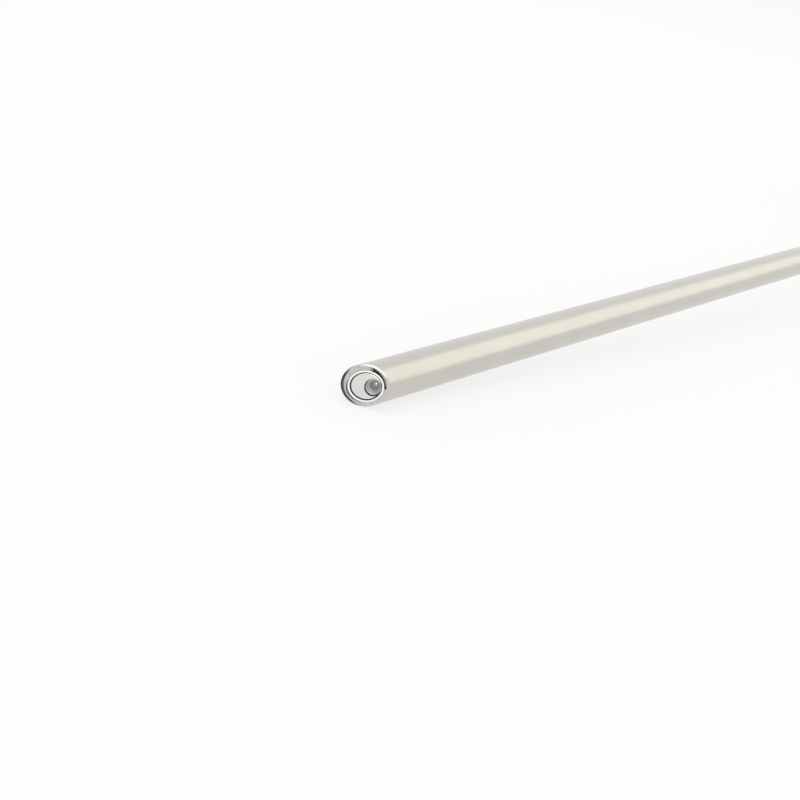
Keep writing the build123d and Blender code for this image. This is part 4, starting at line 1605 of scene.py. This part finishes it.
@dataclass
class Barrel:
    """The socket of the tube, the end ring and the ring that marks the angle of view."""

    dresser: Dresser
    socket_bore: float = 1.98
    nose_radius: float = 2.9
    nose_length: float = 2.0
    cone_length: float = 10.0
    body_radius: float = 7.5
    spigot_radius: float = 6.28
    spigot_length: float = 1.0
    ring_radius: float = 8.0
    ring_length: float = 4.5
    view_radius: float = 8.3
    core_radius: float = 5.0
    edge: float = 0.4
    ease: float = 0.12
    socket_segments: int = 128
    ring_segments: int = 160
    screw_count: int = 3
    screw_turn: float = 60.0
    screw_station: float = 2.25
    screw_radius: float = 0.98
    screw_recess: float = 0.3
    screw_foot: float = 0.2
    screw_edge: float = 0.1
    screw_sides: int = 24
    screw_crease: float = 25.0
    hex_radius: float = 0.55
    hex_depth: float = 0.9
    hole_fit: float = 0.03
    hole_overrun: float = 1.2

    def build(self) -> None:
        """Makes the turned rings and the lock screws."""
        self.build_socket()
        self.build_end_ring()
        self.build_view_ring()

    def build_socket(self) -> None:
        """Makes the cone that the insertion tube is soldered into."""
        start = Span.of(self.dresser.scope, "shaft_socket").start
        cone_start, cone_end = start + self.nose_length, start + self.nose_length + self.cone_length
        end, edge = cone_end + self.spigot_length, self.edge
        outline = [(start, self.socket_bore), (start, self.nose_radius - edge),
                   (start + edge, self.nose_radius), (cone_start, self.nose_radius),
                   (cone_end - edge, self.body_radius - edge),
                   (cone_end, self.body_radius - edge), (cone_end, self.spigot_radius),
                   (end, self.spigot_radius), (end, self.socket_bore)]
        socket = turned("tube_socket", self.dresser.scope, eased(outline, self.ease), self.socket_segments)
        self.dresser.dress(socket, TURNED, Slot.SATIN_STEEL, "shaft_socket")

    def ring_outline(self, start: float, end: float, radius: float, edge: float) -> Outline:
        """Draws a ring with two cut edges.

        Args:
            start: where it starts along the tube.
            end: where it ends.
            radius: its radius.
            edge: how far each edge is cut.

        Returns:
            The ring's outline.
        """
        return [(start, self.core_radius), (start, radius - edge), (start + edge, radius),
                (end - edge, radius), (end, radius - edge), (end, self.core_radius)]

    def build_end_ring(self) -> None:
        """Makes the end ring, with the lock screws in its holes."""
        scope = self.dresser.scope
        end = Span.of(scope, "end_ring").end
        start = end - self.ring_length
        outline = self.ring_outline(start, end, self.ring_radius, self.edge)
        ring = turned("end_ring_turned", scope, eased(outline, self.ease), self.ring_segments)
        station = start + self.screw_station
        holes = self.screws("screw_holes", self.ring_radius * self.hole_overrun,
                            self.screw_radius + self.hole_fit, None, station)
        ring.data.materials.append(self.dresser.material(TURNED))
        carve(ring, holes)
        self.dresser.dress(ring, TURNED, Slot.SATIN_STEEL, "end_ring")
        screws = self.screws("grub_screws", self.ring_radius - self.screw_recess, self.screw_radius,
                             self.hex_radius, station)
        self.dresser.dress(screws, BLACKENED, Slot.BLACKENED_STEEL, "lock_screws")

    def screws(self, name: str, reach: float, radius: float, hexagon: float | None,
               station: float) -> bpy.types.Object:
        """Makes the three round bodies of the lock screws, or of their holes.

        Args:
            name: the piece's name.
            reach: how far they reach from the tube's axis.
            radius: their radius.
            hexagon: the radius of the socket in their ends, or None for plain ends.
            station: where they stand along the tube.

        Returns:
            One piece that holds all three.
        """
        local = Placement(Vector((station * MM, 0.0, 0.0)), Vector((0.0, 1.0, 0.0)), Vector((1.0, 0.0, 0.0)))
        foot, edge, count = self.core_radius - self.screw_foot, self.screw_edge, self.screw_sides
        mesh = bmesh.new()
        loops = [ring_loop(mesh, local, 0.0, foot, count), ring_loop(mesh, local, radius, foot, count)]
        if hexagon is None:
            loops += [ring_loop(mesh, local, radius, reach, count), ring_loop(mesh, local, 0.0, reach, count)]
        else:
            loops += [ring_loop(mesh, local, radius, reach - edge, count),
                      ring_loop(mesh, local, radius - edge, reach, count),
                      hex_loop(mesh, local, hexagon, reach, count),
                      hex_loop(mesh, local, hexagon, reach - self.hex_depth, count),
                      ring_loop(mesh, local, 0.0, reach - self.hex_depth, count)]
        skin(mesh, loops, closed=False)
        one = piece_from(name, mesh, self.screw_crease)
        finish = TURNED if hexagon is None else BLACKENED
        grow(one, copies_rule(), {"Count": self.screw_count, "Start": math.radians(self.screw_turn),
                                  "Material": self.dresser.material(finish)})
        self.dresser.scope.carry(one)
        return one

    def build_view_ring(self) -> None:
        """Makes the coloured ring."""
        span = Span.of(self.dresser.scope, "view_ring")
        outline = self.ring_outline(span.start, span.end, self.view_radius, self.edge / 2)
        ring = turned("colour_ring", self.dresser.scope, eased(outline, self.ease), self.ring_segments)
        self.dresser.dress(ring, COLOUR, Slot.VIEW_COLOUR, "view_ring")


@dataclass
class LightPost:
    """The light post's flange and neck, and the screwed adapter with its fluted grip."""

    dresser: Dresser
    flange_radius: float = 4.9
    flange_height: float = 1.8
    neck_radius: float = 3.2
    neck_length: float = 1.4
    neck_fit: float = 0.05
    grip_radius: float = 5.1
    grip_length: float = 4.2
    nose_radius: float = 4.75
    groove_radius: float = 4.1
    groove_width: float = 1.6
    seal_height: float = 0.84
    window_depth: float = 1.4
    ledge: float = 0.8
    bore: float = 2.42
    flutes: int = 24
    flute_radius: float = 0.35
    flute_sides: int = 12
    flute_end_steps: int = 3
    flute_overrun: float = 0.3
    flute_stop: float = 0.7
    edge: float = 0.3
    ease: float = 0.10
    flange_segments: int = 96
    adapter_segments: int = 144

    def build(self) -> None:
        """Makes the flange and the adapter."""
        washer = Span.of(self.dresser.post, "post_washer").end
        top = washer + self.flange_height
        self.build_flange(washer, top)
        self.build_adapter(top + self.seal_height)

    def build_flange(self, washer: float, top: float) -> None:
        """Makes the flange, with its neck.

        Args:
            washer: where the flange stands on its washer.
            top: where the flange ends and the neck starts.
        """
        edge, end = self.edge, top + self.neck_length
        outline = [(washer, self.bore), (washer, self.flange_radius - edge),
                   (washer + edge, self.flange_radius), (top - edge, self.flange_radius),
                   (top, self.flange_radius - edge), (top, self.neck_radius), (end, self.neck_radius),
                   (end, self.bore)]
        flange = turned("post_flange", self.dresser.post, eased(outline, self.ease), self.flange_segments)
        self.dresser.dress(flange, TURNED, Slot.SATIN_STEEL, "light_post", on_post=True)

    def build_adapter(self, start: float) -> None:
        """Makes the adapter that the light cable is pushed on.

        Args:
            start: where it starts along the post.
        """
        edge, neck, hole = self.edge, self.neck_radius + self.neck_fit, self.bore - self.ledge
        end = Span.of(self.dresser.post, "light_adapter").end
        grip = start + self.grip_length
        groove = grip + self.groove_width
        seat = end - self.window_depth
        outline = [(start, neck), (start, self.grip_radius - edge), (start + edge, self.grip_radius),
                   (grip - edge, self.grip_radius), (grip, self.grip_radius - edge),
                   (grip, self.groove_radius), (groove, self.groove_radius), (groove, self.nose_radius - edge),
                   (groove + edge, self.nose_radius), (end - edge, self.nose_radius),
                   (end, self.nose_radius - edge), (end, self.bore), (seat, self.bore), (seat, hole),
                   (start + self.ledge, hole), (start + self.ledge, neck)]
        adapter = turned("cable_adapter", self.dresser.post, eased(outline, self.ease),
                         self.adapter_segments)
        adapter.data.materials.append(self.dresser.material(TURNED, on_post=True))
        carve(adapter, self.flute_cutters(start - self.flute_overrun, grip - self.flute_stop))
        self.dresser.dress(adapter, TURNED, Slot.SATIN_STEEL, "light_adapter", on_post=True)

    def flute_cutters(self, start: float, end: float) -> bpy.types.Object:
        """Makes the round bars that the flutes of the grip are cut with.

        Args:
            start: where they start along the post.
            end: where they end.

        Returns:
            One piece that holds them all.
        """
        local = Placement(Vector((0.0, self.grip_radius * MM, 0.0)), Vector((1.0, 0.0, 0.0)),
                          Vector((0.0, 1.0, 0.0)))
        radius, sides = self.flute_radius, self.flute_sides
        mesh = bmesh.new()
        loops = [ring_loop(mesh, local, 0.0, start, sides), ring_loop(mesh, local, radius, start, sides),
                 ring_loop(mesh, local, radius, end - radius, sides)]
        for bend in quarter_turn(self.flute_end_steps)[1:-1]:
            loops.append(ring_loop(mesh, local, radius * math.cos(bend), end - radius * (1 - math.sin(bend)),
                                   sides))
        loops.append(ring_loop(mesh, local, 0.0, end, sides))
        skin(mesh, loops, closed=False)
        one = piece_from("flute_cutter", mesh)
        grow(one, copies_rule(), {"Count": self.flutes, "Start": 0.0,
                                  "Material": self.dresser.material(TURNED, on_post=True)})
        self.dresser.post.carry(one)
        return one


@dataclass
class Eyepiece:
    """The black cup for the eye, with its window and bezel."""

    dresser: Dresser
    neck_radius: float = 9.0
    neck_length: float = 7.0
    rim_width: float = 4.0
    rim_edge: float = 0.5
    radius: float = 16.0
    floor_depth: float = 8.5
    floor_radius: float = 8.0
    mouth_radius: float = 13.4
    bore: float = 5.02
    core_radius: float = 5.0
    bezel_radius: float = 6.4
    bezel_opening: float = 4.0
    bezel_height: float = 0.7
    bezel_ease: float = 0.06
    ease: float = 0.25
    flare_steps: int = 24
    cup_segments: int = 192
    bezel_segments: int = 128
    grooves: int = 3
    groove_pitch: float = 1.3
    groove_depth: float = 0.22
    groove_floor: Range = (0.15, 0.45)
    groove_width: float = 0.6
    groove_ease: float = 0.08
    groove_margin: float = 1.2

    def build(self) -> None:
        """Makes the cup and the bezel."""
        span = Span.of(self.dresser.scope, "eyepiece_cup")
        floor = span.end - self.floor_depth
        self.build_cup(span, floor)
        self.build_bezel(floor)

    def neck(self, start: float, neck_end: float) -> Outline:
        """Draws the neck of the cup.

        Args:
            start: where the neck starts along the tube.
            neck_end: where it ends.

        Returns:
            The outline of its face and its wall, with the grooves that the fingers hold.
        """
        outline = [(start, self.bore), (start, self.neck_radius)]
        first = neck_end - self.groove_margin - self.groove_pitch * self.grooves
        bottom = self.neck_radius - self.groove_depth
        for groove in range(self.grooves):
            place = first + self.groove_pitch * groove
            outline += [(place, self.neck_radius), *((place + run, bottom) for run in self.groove_floor),
                        (place + self.groove_width, self.neck_radius)]
        return eased(outline, self.groove_ease, closed=False)

    def flare(self, neck_end: float, rim_start: float) -> Outline:
        """Draws the curve from the neck to the rim.

        Args:
            neck_end: where the curve starts along the tube.
            rim_start: where it ends.

        Returns:
            The curve.
        """
        rise = self.radius - self.rim_edge - self.neck_radius
        run = rim_start - neck_end
        curve = (run**2 + rise**2) / (2 * rise)
        sweep = math.asin(run / curve)
        bends = [sweep * step / self.flare_steps for step in range(self.flare_steps + 1)]
        return [(neck_end + curve * math.sin(bend), self.neck_radius + curve * (1 - math.cos(bend)))
                for bend in bends]

    def build_cup(self, span: Span, floor: float) -> None:
        """Makes the cup.

        Args:
            span: where the cup lies along the tube.
            floor: where its floor lies.
        """
        neck_end, rim_start = span.start + self.neck_length, span.end - self.rim_width
        back = [(rim_start, self.radius - self.rim_edge), (rim_start + self.rim_edge, self.radius),
                (span.end - self.rim_edge, self.radius), (span.end, self.radius - self.rim_edge),
                (span.end, self.mouth_radius), (floor, self.floor_radius), (floor, self.bore)]
        shell = self.neck(span.start, neck_end) + self.flare(neck_end, rim_start)
        shell += eased(back, self.ease, closed=False)[1:]
        cup = turned("eyepiece_shell", self.dresser.scope, shell, self.cup_segments)
        self.dresser.dress(cup, PLASTIC, Slot.BLACK_PLASTIC, "eyepiece_cup")

    def build_bezel(self, floor: float) -> None:
        """Makes the bezel that holds the window in the cup's floor.

        Args:
            floor: where the floor lies along the tube.
        """
        height = self.bezel_height
        foot, top = floor - height, floor + height
        outline = [(foot, self.bezel_opening), (foot, self.core_radius), (floor, self.core_radius),
                   (floor, self.bezel_radius), (floor + height / 2, self.bezel_radius),
                   (top, self.bezel_radius - height / 2), (top, self.bezel_opening + height)]
        bezel = turned("window_ring", self.dresser.scope, eased(outline, self.bezel_ease),
                       self.bezel_segments)
        self.dresser.dress(bezel, TURNED, Slot.SATIN_STEEL, "window_bezel")


@dataclass
class PhotoCamera:
    """The camera of the photograph, from where that shows the tube's tip and where its edges would meet."""

    scope: Placement
    picture_side: float = 800.0
    focal_pixels: float = 1322.0
    edges_meet: tuple[float, float] = (1498.0, 60.0)
    tip_pixel: tuple[float, float] = (364.4, 385.4)
    tip_distance: float = 121.3
    view_turn: float = 110.0
    sensor: float = 36.0
    nearest: float = 5.0
    farthest: float = 8000.0

    def ray(self, pixel: tuple[float, float]) -> Vector:
        """Returns the direction to a pixel in the camera's own axes, with a depth of 1."""
        middle = self.picture_side / 2
        return Vector(((pixel[0] - middle) / self.focal_pixels, (middle - pixel[1]) / self.focal_pixels, -1.0))

    def build(self) -> bpy.types.Object:
        """Makes the camera and makes it the scene's own.

        Returns:
            The camera.
        """
        axis = self.ray(self.edges_meet).normalized()
        level = Vector((-axis.y, axis.x, 0.0)).normalized()
        turn = math.radians(self.view_turn)
        view = level * math.cos(turn) + axis.cross(level) * math.sin(turn)
        seen = Matrix((axis, view, axis.cross(view)))
        along, down = self.scope.along, -self.scope.across
        real = Matrix((along, down, along.cross(down))).transposed()
        rotation = real @ seen
        tip = self.ray(self.tip_pixel) * self.tip_distance * MM
        data = bpy.data.cameras.new("photo_camera")
        data.sensor_width = self.sensor
        data.lens = self.sensor * self.focal_pixels / self.picture_side
        data.clip_start = self.nearest * MM
        data.clip_end = self.farthest * MM
        camera = bpy.data.objects.new("photo_camera", data)
        camera.matrix_world = Matrix.Translation(self.scope.origin - rotation @ tip) @ rotation.to_4x4()
        bpy.context.scene.collection.objects.link(camera)
        bpy.context.scene.camera = camera
        return camera


@dataclass(frozen=True)
class Lamp:
    """A soft square lamp: its direction from the object, its distance and side in metres, and its light."""

    name: str
    toward: tuple[float, float, float]
    distance: float
    size: float
    radiance: float
    colour: Colour = (1.0, 1.0, 1.0)

    def hang(self, target: Vector) -> None:
        """Hangs the lamp, so that it faces the object and a radiance of 1 looks as bright as the white room.

        Args:
            target: the point that it faces.
        """
        data = bpy.data.lights.new(self.name, "AREA")
        data.shape = "SQUARE"
        data.size = self.size
        data.energy = self.radiance * math.pi * self.size**2
        data.color = self.colour
        lamp = bpy.data.objects.new(self.name, data)
        away = Vector(self.toward).normalized()
        lamp.matrix_world = (Matrix.Translation(target + away * self.distance)
                             @ away.to_track_quat("Z", "Y").to_matrix().to_4x4())
        bpy.context.scene.collection.objects.link(lamp)


@dataclass
class Studio:
    """A white room: the floor, the soft lamps and the world."""

    target: Vector
    floor_side: float = 24.0
    floor_gap: float = 0.00005
    floor_colour: Colour = (0.95, 0.95, 0.95)
    floor_roughness: float = 0.9
    floor_own_light: float = 0.72
    room_light: float = 0.86
    lamps: tuple[Lamp, ...] = (
        Lamp("key_softbox", (0.7744, -0.3630, 0.5182), 0.7, 0.54, 0.42, (1.0, 0.93, 0.76)),
        Lamp("overhead_softbox", (0.0, 0.0, 1.0), 1.1, 1.4, 0.26),
        Lamp("catch_light", (-0.8648, -0.481, 0.1444), 0.6, 0.13, 3.4),
    )

    def seen_directly(self, wiring: Wiring) -> bpy.types.NodeSocket:
        """Tells rays that show a thing from rays that light others.

        Args:
            wiring: the wiring of the material or the world.

        Returns:
            The socket that gives 1 for rays of the camera and of mirrors and glass, and 0 for the light that
            falls on things.
        """
        path = wiring.node("ShaderNodeLightPath").outputs
        some = wiring.math("ADD", path["Is Camera Ray"], path["Is Glossy Ray"])
        return wiring.math("ADD", some, path["Is Transmission Ray"], clamp=True)

    def build_world(self) -> None:
        """Makes the white world, which lights things a little less than it shows itself."""
        world = bpy.data.worlds.new("white_room")
        bpy.context.scene.world = world
        world.use_nodes = True
        wiring = Wiring(world.node_tree)
        back = next(node for node in world.node_tree.nodes if node.type == "BACKGROUND")
        back.inputs["Color"].default_value = (1.0, 1.0, 1.0, 1.0)
        share = wiring.math("MULTIPLY", self.seen_directly(wiring), 1.0 - self.room_light)
        wiring.feed(back.inputs["Strength"], wiring.math("ADD", share, self.room_light))

    def build_floor(self) -> None:
        """Makes the pale floor, which keeps the object's shadow."""
        mesh = bmesh.new()
        half = self.floor_side / 2
        corners = [(-half, -half), (half, -half), (half, half), (-half, half)]
        mesh.faces.new([mesh.verts.new((x, y, CAD_BOX[0][2] - self.floor_gap)) for x, y in corners])
        floor = piece_from("studio_floor", mesh)
        material = bpy.data.materials.new("studio_floor")
        material.use_nodes = True
        wiring = Wiring(material.node_tree)
        shader = next(node for node in material.node_tree.nodes if node.type == "BSDF_PRINCIPLED")
        output = next(node for node in material.node_tree.nodes if node.type == "OUTPUT_MATERIAL")
        shader.inputs["Base Color"].default_value = (*self.floor_colour, 1.0)
        shader.inputs["Roughness"].default_value = self.floor_roughness
        shader.inputs["Specular IOR Level"].default_value = 0.0
        glow = wiring.node("ShaderNodeEmission", {}, Color=(1.0, 1.0, 1.0, 1.0), Strength=1.0)
        share = wiring.math("MULTIPLY", self.seen_directly(wiring), self.floor_own_light)
        mixed = wiring.node("ShaderNodeMixShader", {}, Fac=share)
        wiring.feed_all(mixed.inputs[1:], (shader.outputs[0], glow.outputs[0]))
        wiring.feed(output.inputs["Surface"], mixed.outputs[0])
        floor.data.materials.append(material)

    def build(self) -> None:
        """Makes the whole studio."""
        bpy.context.scene.view_settings.view_transform = "Standard"
        self.build_world()
        self.build_floor()
        for lamp in self.lamps:
            lamp.hang(self.target)


def main() -> None:
    """Builds the studio and every sub-assembly, in order."""
    logging.basicConfig(level=logging.INFO, format="%(name)s: %(message)s")
    scope = scope_placement()
    post = post_placement(scope)
    PhotoCamera(scope).build()
    Studio(scope.origin).build()
    dresser = Dresser(SharedEffects(), scope, post)
    dresser.dress_nodes()
    tubes = TipTubes(dresser)
    tubes.build()
    FibreFace(dresser, tubes).build()
    ObjectiveCell(dresser, tubes).build()
    Barrel(dresser).build()
    LightPost(dresser).build()
    Eyepiece(dresser).build()


if __name__ == "__main__":
    main()
